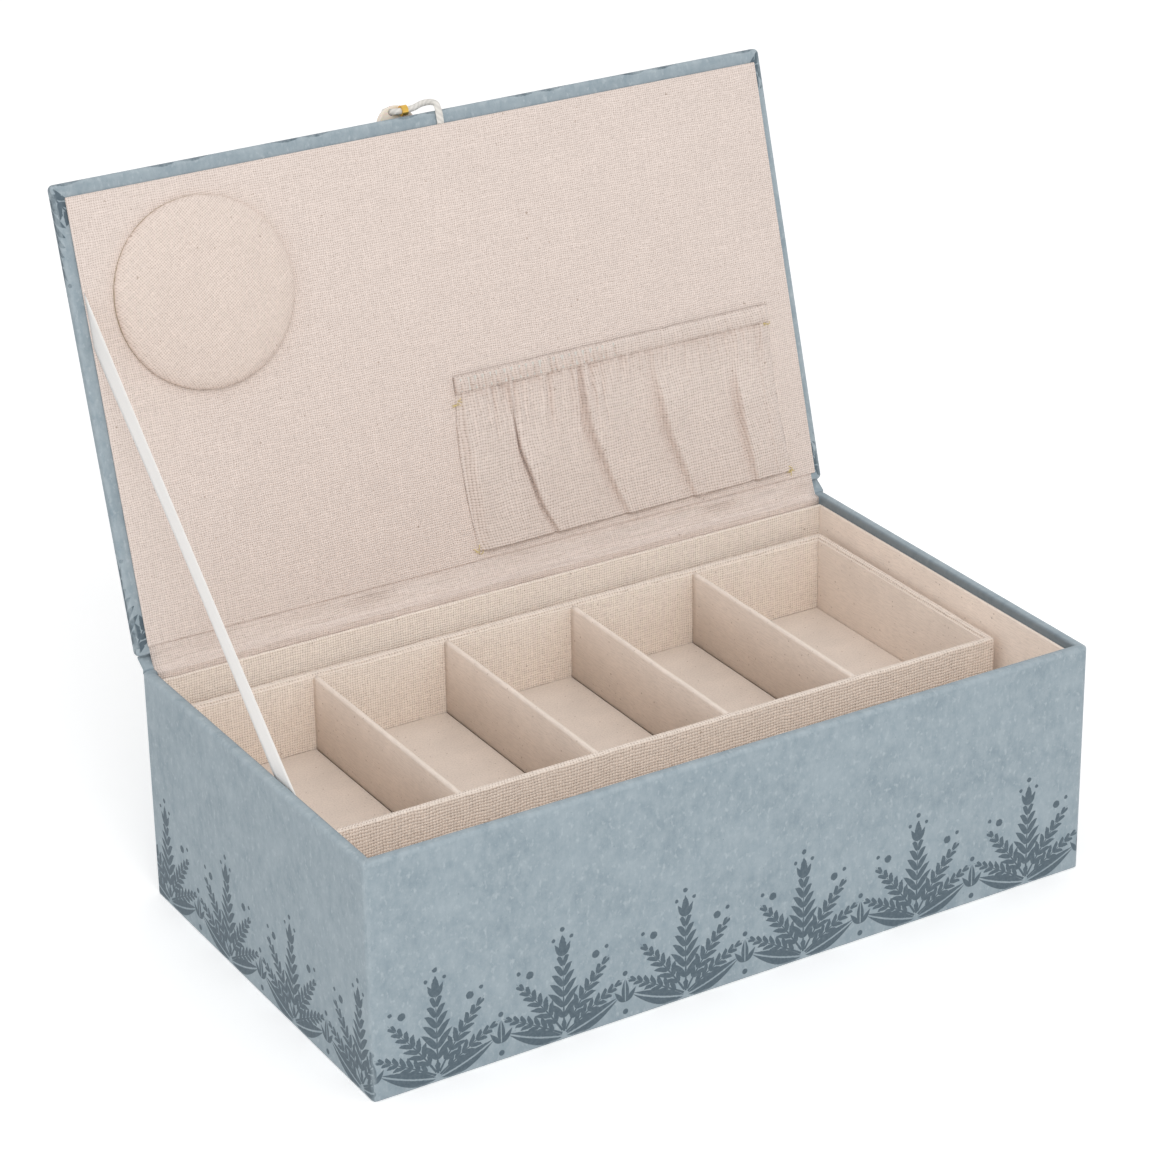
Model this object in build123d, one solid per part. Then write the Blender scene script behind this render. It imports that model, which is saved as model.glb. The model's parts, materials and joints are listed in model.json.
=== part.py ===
from build123d import *
import math
import os

# Cloth-covered board box for sewing things, shown with its lid open.
# The origin is the middle of the underside. X runs along the front from left to right,
# Y runs from the front to the back, and Z is up. All sizes are in millimetres.

# Box, outside
box_length = 300.0
box_depth = 170.0
box_height = 92.0
corner_radius = 2.0

# Thicknesses of board, cover cloth and lining panels
board = 3.0
cover = 0.5
lining = 1.2
turn_in = 12.0
lining_drop = 3.2

# Lid, and the cloth hinge that it turns on
lid_board_thickness = 3.0
lid_lining_thickness = 0.9
lid_lining_margin = 3.1
lid_lining_left_margin = 4.5
lid_lining_front_margin = 5.0
lid_turn_in = 14.0
lid_side_overhang = 0.5
lid_front_overhang = 2.0
lid_back_overhang = 1.0
lid_rest_gap = 0.2
lid_open_angle = 106.0
pivot_behind_wall = 2.6
pivot_above_rim = 2.8
linen_end_gap = 0.5
linen_bend_inset = 0.4
hinge_cover_inset = 0.9
hinge_cover_foot = 0.3
hinge_cover_rise = 0.8

# Tray and its dividers
tray_depth = 115.0
tray_height = 34.0
tray_below_rim = 12.0
tray_side_gap = 3.6
tray_back_gap = 5.9
tray_board = 2.0
tray_linen = 0.4
tray_lining = 0.8
tray_lining_drop = 0.5
tray_floor_lining = 1.0
tray_turn_in = 8.0
divider_count = 4
divider_thickness = 2.5
divider_drop = 0.8
divider_shift = -3.8

# Ledges that carry the tray
ledge_width = 8.0
ledge_height = 6.0
ledge_gap = 0.1

# Ribbon stay, from the left wall to the lid
ribbon_width = 10.4
ribbon_thickness = 0.4
ribbon_from_front = 65.8
ribbon_up_lid = 124.0
ribbon_inset = 0.1

# Pincushion on the lid lining
cushion_diameter = 72.0
cushion_crown = 6.2
cushion_side = 1.6
cushion_drawn_in = 0.8
cushion_shoulder_slope = 0.4
cushion_card = 1.0
cushion_from_left = 50.5
cushion_up_lid = 125.0

# Gathered pocket on the lid lining
pocket_cloth = 0.7
pocket_foot_width = 143.0
pocket_top_width = 140.0
pocket_sway = 2.0
pocket_from_right = 86.0
pocket_foot_up_lid = 6.5
pocket_height = 60.5
pocket_foot_rise = 1.2
pocket_belly = 5.2
pocket_fold_lift = 0.8
pocket_section_count = 6
pocket_fold_count = 4
first_fold_foot_share = 0.23
fold_pitch_foot_share = 0.215
first_fold_top_share = 0.155
fold_pitch_top_share = 0.235
casing_height = 7.0
casing_thickness = 2.6
casing_sewn_end = 3.0
pocket_mouth = 0.6
elastic_width = 5.0
elastic_thickness = 0.8
elastic_clearance = 0.2
tack_length = 2.4
tack_thickness = 0.5

# Pull at the lid's front edge: a cord, a brass bead and a shell disc
cord_diameter = 2.4
cord_from_middle = 6.7
cord_turn_at_disc = 2.4
cord_below_disc = 0.4
cord_turn_clearance = 0.2
cord_slack = 0.2
knot_diameter = 4.0
knot_lift = 1.6
bead_diameter = 4.0
bead_length = 2.4
bead_from_middle = -5.6
bead_gap = 0.2
bead_bore_clearance = 0.05
disc_diameter = 16.0
disc_thickness = 2.4
disc_edge_radius = 0.6
disc_from_middle = -7.7
disc_below_edge = 3.5
disc_off_lid = 2.7
disc_dish_diameter = 9.0
disc_dish_depth = 0.6

# Sizes that follow from the ones above
half_length = box_length / 2
half_depth = box_depth / 2
rim_width = cover + board + cover
base_top = cover + board
board_half_length = half_length - cover
board_half_depth = half_depth - cover
wall_top = box_height - cover
rim_half_length = half_length - rim_width
rim_half_depth = half_depth - rim_width
inner_half_length = rim_half_length - lining
inner_half_depth = rim_half_depth - lining
lining_top = box_height - lining_drop
floor_top = base_top + lining

lid_inner = box_height + lid_lining_thickness + lid_rest_gap
lid_outer = lid_inner + cover + lid_board_thickness + cover
lid_half_length = half_length + lid_side_overhang
lid_front = -half_depth - lid_front_overhang
lid_back = half_depth + lid_back_overhang
lid_face = lid_inner - lid_lining_thickness
lid_lining_front = lid_front + lid_lining_front_margin
lid_lining_back = lid_back - lid_lining_margin
lid_lining_span = (lid_lining_left_margin - lid_half_length, lid_half_length - lid_lining_margin)
pivot_y = half_depth + pivot_behind_wall
pivot_z = box_height + pivot_above_rim

tray_wall = tray_linen + tray_board + tray_linen
tray_half_length = inner_half_length - tray_side_gap
tray_back = inner_half_depth - tray_back_gap
tray_front = tray_back - tray_depth
tray_top = box_height - tray_below_rim
tray_bottom = tray_top - tray_height
tray_panel_half_length = tray_half_length - tray_wall
tray_panel_front = tray_front + tray_wall
tray_panel_back = tray_back - tray_wall
tray_inner_half_length = tray_panel_half_length - tray_lining
tray_inner_front = tray_panel_front + tray_lining
tray_inner_back = tray_panel_back - tray_lining
tray_base_top = tray_bottom + tray_linen + tray_board
tray_floor_top = tray_base_top + tray_floor_lining
tray_lining_top = tray_top - tray_lining_drop
ledge_top = tray_bottom - ledge_gap

cord_radius = cord_diameter / 2
bead_y = lid_front - bead_gap - bead_diameter / 2
disc_underside = lid_outer + disc_off_lid
bead_z = disc_underside - cord_turn_at_disc - cord_below_disc


def block(x, y, z):
    """A box between pairs of X, Y and Z values."""
    middle = ((x[0] + x[1]) / 2, (y[0] + y[1]) / 2, (z[0] + z[1]) / 2)
    return Pos(*middle) * Box(x[1] - x[0], y[1] - y[0], z[1] - z[0])


def rounded_block(x, y, z, radius):
    """A box with its four upright edges rounded."""
    plan = RectangleRounded(x[1] - x[0], y[1] - y[0], radius)
    placed = Pos((x[0] + x[1]) / 2, (y[0] + y[1]) / 2, z[0]) * plan
    return extrude(placed, amount=z[1] - z[0], dir=(0, 0, 1))


def both(half):
    return (-half, half)


def moved_sideways(points, distance):
    """A line of (y, z) points moved to its left by a distance, with mitred corners."""
    steps = [(Vector(*end) - Vector(*start)).normalized() for start, end in zip(points, points[1:])]
    arriving = [steps[0]] + steps
    leaving = steps + [steps[-1]]
    moved = []
    for (y, z), before, after in zip(points, arriving, leaving):
        reach = distance / (1 + before.dot(after))
        moved.append((y - (before.Y + after.Y) * reach, z + (before.X + after.X) * reach))
    return moved


def drawn_along_x(outline, x):
    """A solid with an outline of (y, z) points, between two X values."""
    wire = Wire.make_polygon([(x[0], y, z) for y, z in outline], close=True)
    return Solid.extrude(Face(wire), (x[1] - x[0], 0, 0))


def cloth_strip(points, thickness, x):
    """Cloth of one thickness that follows a bent line of (y, z) points."""
    left = moved_sideways(points, thickness / 2)
    right = moved_sideways(points, -thickness / 2)
    return drawn_along_x(left + right[::-1], x)


def up_lid(distance):
    """The Y of a place on the closed lid, that far from the lid's hinge end."""
    return lid_back - distance


def open_lid(closed_shape):
    """Turns a piece of the closed lid about the hinge line to where it stands open."""
    hinge_line = Axis((0, pivot_y, pivot_z), (1, 0, 0))
    return closed_shape.rotate(hinge_line, -lid_open_angle)


def open_lid_point(y, z):
    """Where the point (y, z) of the closed lid goes when the lid stands open."""
    turn = math.radians(-lid_open_angle)
    return (
        pivot_y + (y - pivot_y) * math.cos(turn) - (z - pivot_z) * math.sin(turn),
        pivot_z + (y - pivot_y) * math.sin(turn) + (z - pivot_z) * math.cos(turn),
    )


# Box body


def make_base_cover():
    """Cover sheet under the base, which the box stands on."""
    return rounded_block(both(half_length), both(half_depth), (0, cover), corner_radius)


def make_base_board():
    radius = corner_radius - cover
    return rounded_block(both(board_half_length), both(board_half_depth), (cover, base_top), radius)


def make_long_wall(side):
    """Front wall board at side -1 and back wall board at side 1, rounded at their outer corners."""
    outside = rounded_block(
        both(board_half_length), both(board_half_depth), (base_top, wall_top), corner_radius - cover
    )
    span = sorted((side * board_half_depth, side * (board_half_depth - board)))
    return outside & block(both(half_length), span, (base_top, wall_top))


def make_side_wall(side):
    """Left wall board at side -1 and right wall board at side 1, between the long walls."""
    span = sorted((side * board_half_length, side * (board_half_length - board)))
    return block(span, both(board_half_depth - board), (base_top, wall_top))


def make_box_cover():
    """Printed cover round the walls, over three rims and turned in. The back rim has linen."""
    outside = rounded_block(both(half_length), both(half_depth), (cover, box_height), corner_radius)
    inside_radius = corner_radius - cover
    boards = rounded_block(
        both(board_half_length), both(board_half_depth), (cover, wall_top), inside_radius
    )
    opening = block(both(rim_half_length), both(rim_half_depth), (wall_top, box_height))
    back_rim = block(both(rim_half_length), (rim_half_depth, board_half_depth), (wall_top, box_height))
    turned_z = (box_height - turn_in, wall_top)
    turned_outside = block(both(rim_half_length + cover), both(rim_half_depth + cover), turned_z)
    turned_inside = block(both(rim_half_length), (-rim_half_depth, rim_half_depth + cover), turned_z)
    return outside - boards - opening - back_rim + (turned_outside - turned_inside)


def make_long_lining(side):
    """Lining panel of the front at side -1 and of the back at side 1."""
    span = sorted((side * rim_half_depth, side * inner_half_depth))
    return block(both(rim_half_length), span, (base_top, lining_top))


def make_side_lining(side):
    span = sorted((side * rim_half_length, side * inner_half_length))
    return block(span, both(inner_half_depth), (base_top, lining_top))


def make_floor_lining():
    return block(both(inner_half_length), both(inner_half_depth), (base_top, floor_top))


def make_tray_ledge(side):
    """Covered strip on the side lining, with the tray resting on its top."""
    span = sorted((side * inner_half_length, side * (inner_half_length - ledge_width)))
    return block(span, both(inner_half_depth), (ledge_top - ledge_height, ledge_top))


# Hinge and ribbon, which bend or fold as the lid closes


def make_hinge_linen():
    """Linen from behind the back lining, over the back rim and up the lid to its lining."""
    inner_y = rim_half_depth + cover / 2
    rim_z = box_height - cover / 2
    lid_z = lid_inner - cover / 2
    line = [
        (inner_y, box_height - turn_in),
        (inner_y, rim_z),
        (board_half_depth - cover / 2 - linen_bend_inset, rim_z),
        open_lid_point(lid_back, lid_z),
        open_lid_point(lid_lining_back, lid_z),
    ]
    return cloth_strip(line, cover, both(rim_half_length - linen_end_gap))


def make_hinge_cover():
    """Printed cover cloth between the back wall's outside and the lid's hinge end."""
    wall_y = half_depth - cover / 2
    lid_z = lid_outer - hinge_cover_inset
    line = [
        (wall_y, box_height),
        (wall_y, box_height + hinge_cover_foot),
        open_lid_point(lid_back + hinge_cover_rise, lid_z),
        open_lid_point(lid_back, lid_z),
    ]
    return cloth_strip(line, cover, both(rim_half_length - linen_end_gap))


def make_ribbon_stay():
    """Ribbon from the left lining's top edge to the lid lining, straight while the lid is open."""
    low = Vector(ribbon_from_front - half_depth, box_height)
    high = Vector(*open_lid_point(up_lid(ribbon_up_lid), lid_face))
    along = (high - low).normalized()
    foot = low + along * ((lining_top - box_height) / along.Y)
    lid_turn = math.radians(180 - lid_open_angle)
    lid_way = Vector(math.cos(lid_turn), math.sin(lid_turn))
    foot_step = Vector(1, 0) * (ribbon_width / 2 / along.Y)
    head_step = lid_way * (ribbon_width / 2 / math.sin(lid_turn - math.atan2(along.Y, along.X)))
    outline = [foot - foot_step, foot + foot_step, high - head_step, high + head_step]
    near = -rim_half_length + ribbon_inset
    return drawn_along_x([(point.X, point.Y) for point in outline], (near, near + ribbon_thickness))


# Lid, drawn closed and then opened


def make_lid_board():
    return rounded_block(
        both(lid_half_length - cover),
        (lid_front + cover, lid_back - cover),
        (lid_inner + cover, lid_outer - cover),
        corner_radius - cover,
    )


def make_lid_cover():
    """Printed cover over the lid's outer face and edges, turned in round its inner face."""
    outside = rounded_block(
        both(lid_half_length), (lid_front, lid_back), (lid_inner, lid_outer), corner_radius
    )
    inner_edge = lid_half_length - lid_turn_in
    window = block(
        both(inner_edge), (lid_front + lid_turn_in, lid_back - lid_turn_in), (lid_inner, lid_inner + cover)
    )
    return outside - make_lid_board() - window


def make_lid_lining():
    return block(lid_lining_span, (lid_lining_front, lid_lining_back), (lid_face, lid_inner))


def cushion_place():
    return Pos(cushion_from_left - lid_half_length, up_lid(cushion_up_lid), lid_face)


def make_cushion_card():
    """Card disc under the pincushion, on the lid lining."""
    radius = cushion_diameter / 2 - cushion_drawn_in
    return cushion_place() * Pos(0, 0, -cushion_card / 2) * Cylinder(radius, cushion_card)


def make_pincushion():
    """Domed pad whose side is drawn in to its card."""
    radius = cushion_diameter / 2
    foot_radius = radius - cushion_drawn_in
    shoulder = (foot_radius, 0, -2 * cushion_side)
    top = (0, 0, -cushion_crown)
    side = ThreePointArc((foot_radius, 0, 0), (radius, 0, -cushion_side), shoulder)
    crown = Spline(shoulder, top, tangents=((-1, 0, -cushion_shoulder_slope), (-1, 0, 0)))
    back = Polyline(top, (0, 0, 0), (foot_radius, 0, 0))
    pad = revolve(make_face(side + crown + back), axis=Axis.Z)
    return cushion_place() * Pos(0, 0, -cushion_card) * pad


def pocket_edges(rise):
    """The X of the pocket's left and right edges at a share of its height."""
    width = pocket_foot_width + (pocket_top_width - pocket_foot_width) * rise
    middle = lid_half_length - pocket_from_right - pocket_sway * math.sin(math.pi * rise)
    return middle - width / 2, middle + width / 2


def pocket_folds(rise):
    """The X of each gathered fold at a share of the pocket's height."""
    left, right = pocket_edges(rise)
    first = first_fold_foot_share + (first_fold_top_share - first_fold_foot_share) * rise
    pitch = fold_pitch_foot_share + (fold_pitch_top_share - fold_pitch_foot_share) * rise
    return [left + (right - left) * (first + pitch * index) for index in range(pocket_fold_count)]


def pocket_section(rise):
    """One face across the gathered cloth: a row of swells between folds that lie on the lining."""
    left, right = pocket_edges(rise)
    swell = math.sin(math.pi * rise)
    mean_rise = pocket_foot_rise + (casing_thickness - pocket_foot_rise) * rise
    top = mean_rise + (pocket_belly - (pocket_foot_rise + casing_thickness) / 2) * swell
    fold = pocket_cloth + pocket_fold_lift * swell
    y = up_lid(pocket_foot_up_lid + pocket_height * rise)
    ends = [(left, pocket_cloth), (right, pocket_cloth)]
    low = [ends[0]] + [(x, fold) for x in pocket_folds(rise)] + [ends[1]]

    def row(depth):
        """The row of arcs, moved towards the lining by a depth."""
        edges = []
        for (x_from, from_rise), (x_to, to_rise) in zip(low, low[1:]):
            edges.append(
                ThreePointArc(
                    (x_from, y, lid_face - from_rise + depth),
                    ((x_from + x_to) / 2, y, lid_face - top + depth),
                    (x_to, y, lid_face - to_rise + depth),
                )
            )
        return edges

    sides = [Line((x, y, lid_face - rise_there), (x, y, lid_face)) for x, rise_there in ends]
    return Face(Wire(row(0) + [sides[1]] + row(pocket_cloth) + [sides[0]]))


def casing_span():
    """The X and Y of the casing along the pocket's mouth."""
    foot = pocket_foot_up_lid + pocket_height
    return pocket_edges(1), (up_lid(foot + casing_height), up_lid(foot))


def elastic_slot(clearance):
    """The elastic's own space in the casing, grown by a clearance on each side."""
    x, y = casing_span()
    middle_y = (y[0] + y[1]) / 2
    middle_z = lid_face - (casing_thickness + pocket_mouth) / 2
    half_width = elastic_width / 2 + clearance
    half_thickness = elastic_thickness / 2 + clearance
    return block(
        x,
        (middle_y - half_width, middle_y + half_width),
        (middle_z - half_thickness, middle_z + half_thickness),
    )


def make_pocket():
    """Gathered cloth sewn down at its foot and sides. Its casing leaves the mouth open behind it."""
    shares = [index / (pocket_section_count - 1) for index in range(pocket_section_count)]
    gathered = loft([pocket_section(share) for share in shares], ruled=True)
    x, y = casing_span()
    casing = block(x, y, (lid_face - casing_thickness, lid_face))
    mouth_edge = casing.edges().filter_by(Axis.X).sort_by(Axis.Z)[:2].sort_by(Axis.Y)[0]
    casing = fillet(mouth_edge, casing_thickness / 3)
    mouth = block((x[0] + casing_sewn_end, x[1] - casing_sewn_end), y, (lid_face - pocket_mouth, lid_face))
    return gathered + casing - elastic_slot(elastic_clearance) - mouth


def make_pocket_elastic():
    return elastic_slot(0)


def make_pocket_tacks():
    """Thread tacks on the lining beside the pocket's four corners."""
    tacks = []
    for rise, way in ((0, 1), (1, -1)):
        left, right = pocket_edges(rise)
        y = up_lid(pocket_foot_up_lid + pocket_height * rise)
        y_span = sorted((y, y + way * tack_length))
        for x in ((left - tack_thickness, left), (right, right + tack_thickness)):
            tacks.append(block(x, y_span, (lid_face - tack_thickness, lid_face)))
    return Compound(tacks)


# Pull


def pull_points():
    """The cord's route on the closed lid, from the lining over the edge to the shell disc."""
    disc_hole_x = bead_from_middle - bead_length / 2 - cord_turn_at_disc - cord_turn_clearance
    knot_z = disc_underside + disc_thickness + knot_lift
    return [
        (cord_from_middle, lid_lining_front, lid_inner - cord_radius),
        (cord_from_middle, bead_y, lid_inner - cord_radius - cord_slack),
        (cord_from_middle - 0.3, bead_y - 1.4, lid_inner + 3.2),
        (cord_from_middle - 3.5, bead_y - 1.2, lid_outer + 2.2),
        (cord_from_middle - 8.3, bead_y, bead_z),
        (disc_hole_x, bead_y, bead_z),
        (disc_hole_x, bead_y, knot_z),
    ]


def bend_radii(points):
    """A radius for each corner of a cord's route, as large as its two runs allow."""
    share_of_run = 0.45
    radii = []
    for before, here, after in zip(points, points[1:], points[2:]):
        into = Vector(*here) - Vector(*before)
        out_of = Vector(*after) - Vector(*here)
        half_turn = math.radians(into.get_angle(out_of)) / 2
        radii.append(share_of_run * min(into.length, out_of.length) / math.tan(half_turn))
    return radii


def make_pull_cord():
    """Cord over the lid's edge, through the bead and the shell disc, to its knot."""
    points = pull_points()
    radii = bend_radii(points)
    radii[-1] = min(radii[-1], cord_turn_at_disc)
    route = FilletPolyline(*points, radius=radii)
    start = Plane(origin=points[0], z_dir=Vector(*points[1]) - Vector(*points[0]))
    tube = sweep(start * Circle(cord_radius), path=route)
    print("pull cord: length", round(route.length, 2), "radii", [round(radius, 2) for radius in radii])
    print("its volume over section times length", tube.volume / (math.pi * cord_radius**2 * route.length))
    return tube + Pos(*points[-1]) * Sphere(knot_diameter / 2)


def make_brass_bead():
    bore = cord_radius + bead_bore_clearance
    barrel = Cylinder(bead_diameter / 2, bead_length) - Cylinder(bore, bead_length)
    return Pos(bead_from_middle, bead_y, bead_z) * Rot(0, 90, 0) * barrel


def make_shell_disc():
    """Shell disc with a rounded edge, a dished outer face and a hole for the cord."""
    centre = Pos(disc_from_middle, lid_front + disc_below_edge, disc_underside + disc_thickness / 2)
    disc = Cylinder(disc_diameter / 2, disc_thickness)
    disc = fillet(disc.edges(), disc_edge_radius)
    dish_radius = (disc_dish_diameter**2 / 4 + disc_dish_depth**2) / (2 * disc_dish_depth)
    dish = Pos(0, 0, disc_thickness / 2 - disc_dish_depth + dish_radius) * Sphere(dish_radius)
    hole_x, hole_y, _ = pull_points()[-1]
    hole = Pos(hole_x, hole_y, disc_underside + disc_thickness / 2) * Cylinder(
        cord_radius + bead_bore_clearance, disc_thickness
    )
    return centre * (disc - dish) - hole


# Tray


def make_tray_linen():
    """Linen round the outside and underside of the tray, over its rim and turned in."""
    y = (tray_front, tray_back)
    outside = block(both(tray_half_length), y, (tray_bottom, tray_top))
    boards = block(
        both(tray_half_length - tray_linen),
        (tray_front + tray_linen, tray_back - tray_linen),
        (tray_bottom + tray_linen, tray_top - tray_linen),
    )
    opening = block(
        both(tray_panel_half_length), (tray_panel_front, tray_panel_back), (tray_top - tray_linen, tray_top)
    )
    turned_z = (tray_top - tray_turn_in, tray_top - tray_linen)
    turned = block(
        both(tray_panel_half_length + tray_linen),
        (tray_panel_front - tray_linen, tray_panel_back + tray_linen),
        turned_z,
    ) - block(both(tray_panel_half_length), (tray_panel_front, tray_panel_back), turned_z)
    return outside - boards - opening + turned


def make_tray_base():
    return block(
        both(tray_half_length - tray_linen),
        (tray_front + tray_linen, tray_back - tray_linen),
        (tray_bottom + tray_linen, tray_base_top),
    )


def tray_wall_z():
    return (tray_base_top, tray_top - tray_linen)


def make_tray_front_wall():
    y = (tray_front + tray_linen, tray_front + tray_linen + tray_board)
    return block(both(tray_half_length - tray_linen), y, tray_wall_z())


def make_tray_back_wall():
    y = (tray_back - tray_linen - tray_board, tray_back - tray_linen)
    return block(both(tray_half_length - tray_linen), y, tray_wall_z())


def make_tray_side_wall(side):
    outer = side * (tray_half_length - tray_linen)
    span = sorted((outer, outer - side * tray_board))
    reach = tray_linen + tray_board
    return block(span, (tray_front + reach, tray_back - reach), tray_wall_z())


def make_tray_front_lining():
    y = (tray_panel_front, tray_inner_front)
    return block(both(tray_panel_half_length), y, (tray_base_top, tray_lining_top))


def make_tray_back_lining():
    y = (tray_inner_back, tray_panel_back)
    return block(both(tray_panel_half_length), y, (tray_base_top, tray_lining_top))


def make_tray_side_lining(side):
    span = sorted((side * tray_panel_half_length, side * tray_inner_half_length))
    return block(span, (tray_inner_front, tray_inner_back), (tray_base_top, tray_lining_top))


def make_tray_floor_lining():
    y = (tray_inner_front, tray_inner_back)
    return block(both(tray_inner_half_length), y, (tray_base_top, tray_floor_top))


def make_tray_divider(index):
    """One of the evenly spaced dividers, which stand a little left of even spacing as a group."""
    pitch = (2 * tray_inner_half_length + divider_thickness) / (divider_count + 1)
    x = -tray_inner_half_length - divider_thickness / 2 + pitch * (index + 1) + divider_shift
    return block(
        (x - divider_thickness / 2, x + divider_thickness / 2),
        (tray_inner_front, tray_inner_back),
        (tray_floor_top, tray_top - divider_drop),
    )


def make_parts():
    """Every separate piece by its node name."""
    parts = {
        "base_cover": make_base_cover(),
        "base_board": make_base_board(),
        "box_cover": make_box_cover(),
        "floor_lining": make_floor_lining(),
        "hinge_linen": make_hinge_linen(),
        "hinge_cover": make_hinge_cover(),
        "ribbon_stay": make_ribbon_stay(),
        "lid_board": open_lid(make_lid_board()),
        "lid_cover": open_lid(make_lid_cover()),
        "lid_lining": open_lid(make_lid_lining()),
        "cushion_card": open_lid(make_cushion_card()),
        "pincushion": open_lid(make_pincushion()),
        "pocket": open_lid(make_pocket()),
        "pocket_elastic": open_lid(make_pocket_elastic()),
        "pocket_tacks": open_lid(make_pocket_tacks()),
        "pull_cord": open_lid(make_pull_cord()),
        "brass_bead": open_lid(make_brass_bead()),
        "shell_disc": open_lid(make_shell_disc()),
        "tray_linen": make_tray_linen(),
        "tray_base": make_tray_base(),
        "tray_front_wall": make_tray_front_wall(),
        "tray_back_wall": make_tray_back_wall(),
        "tray_front_lining": make_tray_front_lining(),
        "tray_back_lining": make_tray_back_lining(),
        "tray_floor_lining": make_tray_floor_lining(),
    }
    for name, side in (("front", -1), ("back", 1)):
        parts[f"{name}_wall"] = make_long_wall(side)
        parts[f"{name}_lining"] = make_long_lining(side)
    for name, side in (("left", -1), ("right", 1)):
        parts[f"{name}_wall"] = make_side_wall(side)
        parts[f"{name}_lining"] = make_side_lining(side)
        parts[f"{name}_ledge"] = make_tray_ledge(side)
        parts[f"tray_{name}_wall"] = make_tray_side_wall(side)
        parts[f"tray_{name}_lining"] = make_tray_side_lining(side)
    for index in range(divider_count):
        parts[f"tray_divider_{index + 1}"] = make_tray_divider(index)
    return parts


os.makedirs("parts", exist_ok=True)
for node, shape in make_parts().items():
    export_step(shape, f"parts/{node}.step")
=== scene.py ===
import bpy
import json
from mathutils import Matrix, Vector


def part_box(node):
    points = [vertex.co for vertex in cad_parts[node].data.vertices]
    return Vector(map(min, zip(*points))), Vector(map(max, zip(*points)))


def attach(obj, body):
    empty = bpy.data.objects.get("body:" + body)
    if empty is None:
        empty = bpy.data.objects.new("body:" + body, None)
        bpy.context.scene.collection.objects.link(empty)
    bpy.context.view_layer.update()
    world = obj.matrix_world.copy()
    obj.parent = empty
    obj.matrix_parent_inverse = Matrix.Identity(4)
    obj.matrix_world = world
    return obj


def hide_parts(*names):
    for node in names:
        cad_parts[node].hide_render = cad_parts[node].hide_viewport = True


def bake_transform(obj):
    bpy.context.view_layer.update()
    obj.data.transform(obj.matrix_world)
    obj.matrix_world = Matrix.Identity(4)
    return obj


bl_info = {
    "name": "Sewing Box",
    "version": (1, 0, 0),
    "blender": (4, 5, 0),
    "location": "View3D > Sidebar > Sewing Box",
    "description": "Dresses a cloth-covered sewing box: printed cover, linen linings, tray, pocket and pull",
    "category": "Object",
}

import json
import math
import random

import bmesh
import bpy
from mathutils import Matrix, Vector, noise

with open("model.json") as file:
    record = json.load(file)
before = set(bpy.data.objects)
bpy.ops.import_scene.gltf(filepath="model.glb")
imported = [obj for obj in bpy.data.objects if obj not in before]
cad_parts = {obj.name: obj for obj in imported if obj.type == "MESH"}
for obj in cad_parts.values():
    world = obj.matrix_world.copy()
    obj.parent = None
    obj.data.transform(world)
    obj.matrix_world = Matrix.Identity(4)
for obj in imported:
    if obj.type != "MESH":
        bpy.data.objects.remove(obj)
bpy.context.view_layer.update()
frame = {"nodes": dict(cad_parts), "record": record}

MM = 0.001
HINGE = next(joint for joint in frame["record"]["behaviour"]["joints"] if joint["name"] == "lid_hinge")
HINGE_POINT = Vector(HINGE["pos_m"])
OPEN_ANGLE = math.radians(HINGE["range_deg"][1])
LID_OPENS = (
    Matrix.Translation(HINGE_POINT)
    @ Matrix.Rotation(-OPEN_ANGLE, 4, "X")
    @ Matrix.Translation(-HINGE_POINT)
)
LID_SHUTS = LID_OPENS.inverted()


def closed_box(node):
    """Lowest and highest corners of a lid node, with the lid turned shut."""
    points = [LID_SHUTS @ vertex.co for vertex in frame["nodes"][node].data.vertices]
    low = Vector([min(point[axis] for point in points) for axis in range(3)])
    high = Vector([max(point[axis] for point in points) for axis in range(3)])
    return low, high


BOX_LOW, BOX_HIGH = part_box("box_cover")
LID_LOW, LID_HIGH = closed_box("lid_cover")
LINING_LOW, LINING_HIGH = closed_box("lid_lining")
TRAY_LOW, TRAY_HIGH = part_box("tray_linen")
BOX_CORNER = 2.0 * MM
CORNER_INSIDE = 0.25 * MM


# Settings that a user would change


class SewingBoxColours(bpy.types.PropertyGroup):
    def colour(label, words, value):
        return bpy.props.FloatVectorProperty(
            name=label, description=words, subtype="COLOR", size=3, min=0.0, max=1.0, default=value
        )

    cover: colour("Cover", "Ground of the printed cover", (0.31, 0.38, 0.425))
    cover_dark: colour("Cover dark", "Darker patches of the cover", (0.245, 0.312, 0.357))
    cover_pale: colour("Cover pale", "Pale flecks of the cover", (0.43, 0.495, 0.53))
    ink: colour("Print", "Ink of the plant border", (0.085, 0.122, 0.15))
    linen: colour("Linen", "Linen on the lid", (0.864, 0.746, 0.682))
    tray_linen: colour("Tray linen", "Linen round the tray and on the back wall", (0.92, 0.81, 0.72))
    thread_gap: colour("Thread gap", "Shade between the linen threads", (0.36, 0.255, 0.19))
    cotton: colour("Cotton", "Cotton on the walls, floors and dividers", (0.88, 0.775, 0.69))
    satin: colour("Satin", "Ribbon stay", (0.96, 0.93, 0.9))
    tack: colour("Tack thread", "Thread tacks at the pocket's corners", (0.80, 0.66, 0.30))
    cord: colour("Pull cord", "Cord of the pull", (0.86, 0.83, 0.78))
    brass: colour("Brass", "Bead on the pull cord", (0.83, 0.53, 0.12))
    shell: colour("Shell", "Disc on the pull cord", (0.88, 0.765, 0.64))
    board: colour("Board", "Thin board inside the coverings", (0.42, 0.30, 0.19))


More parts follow.
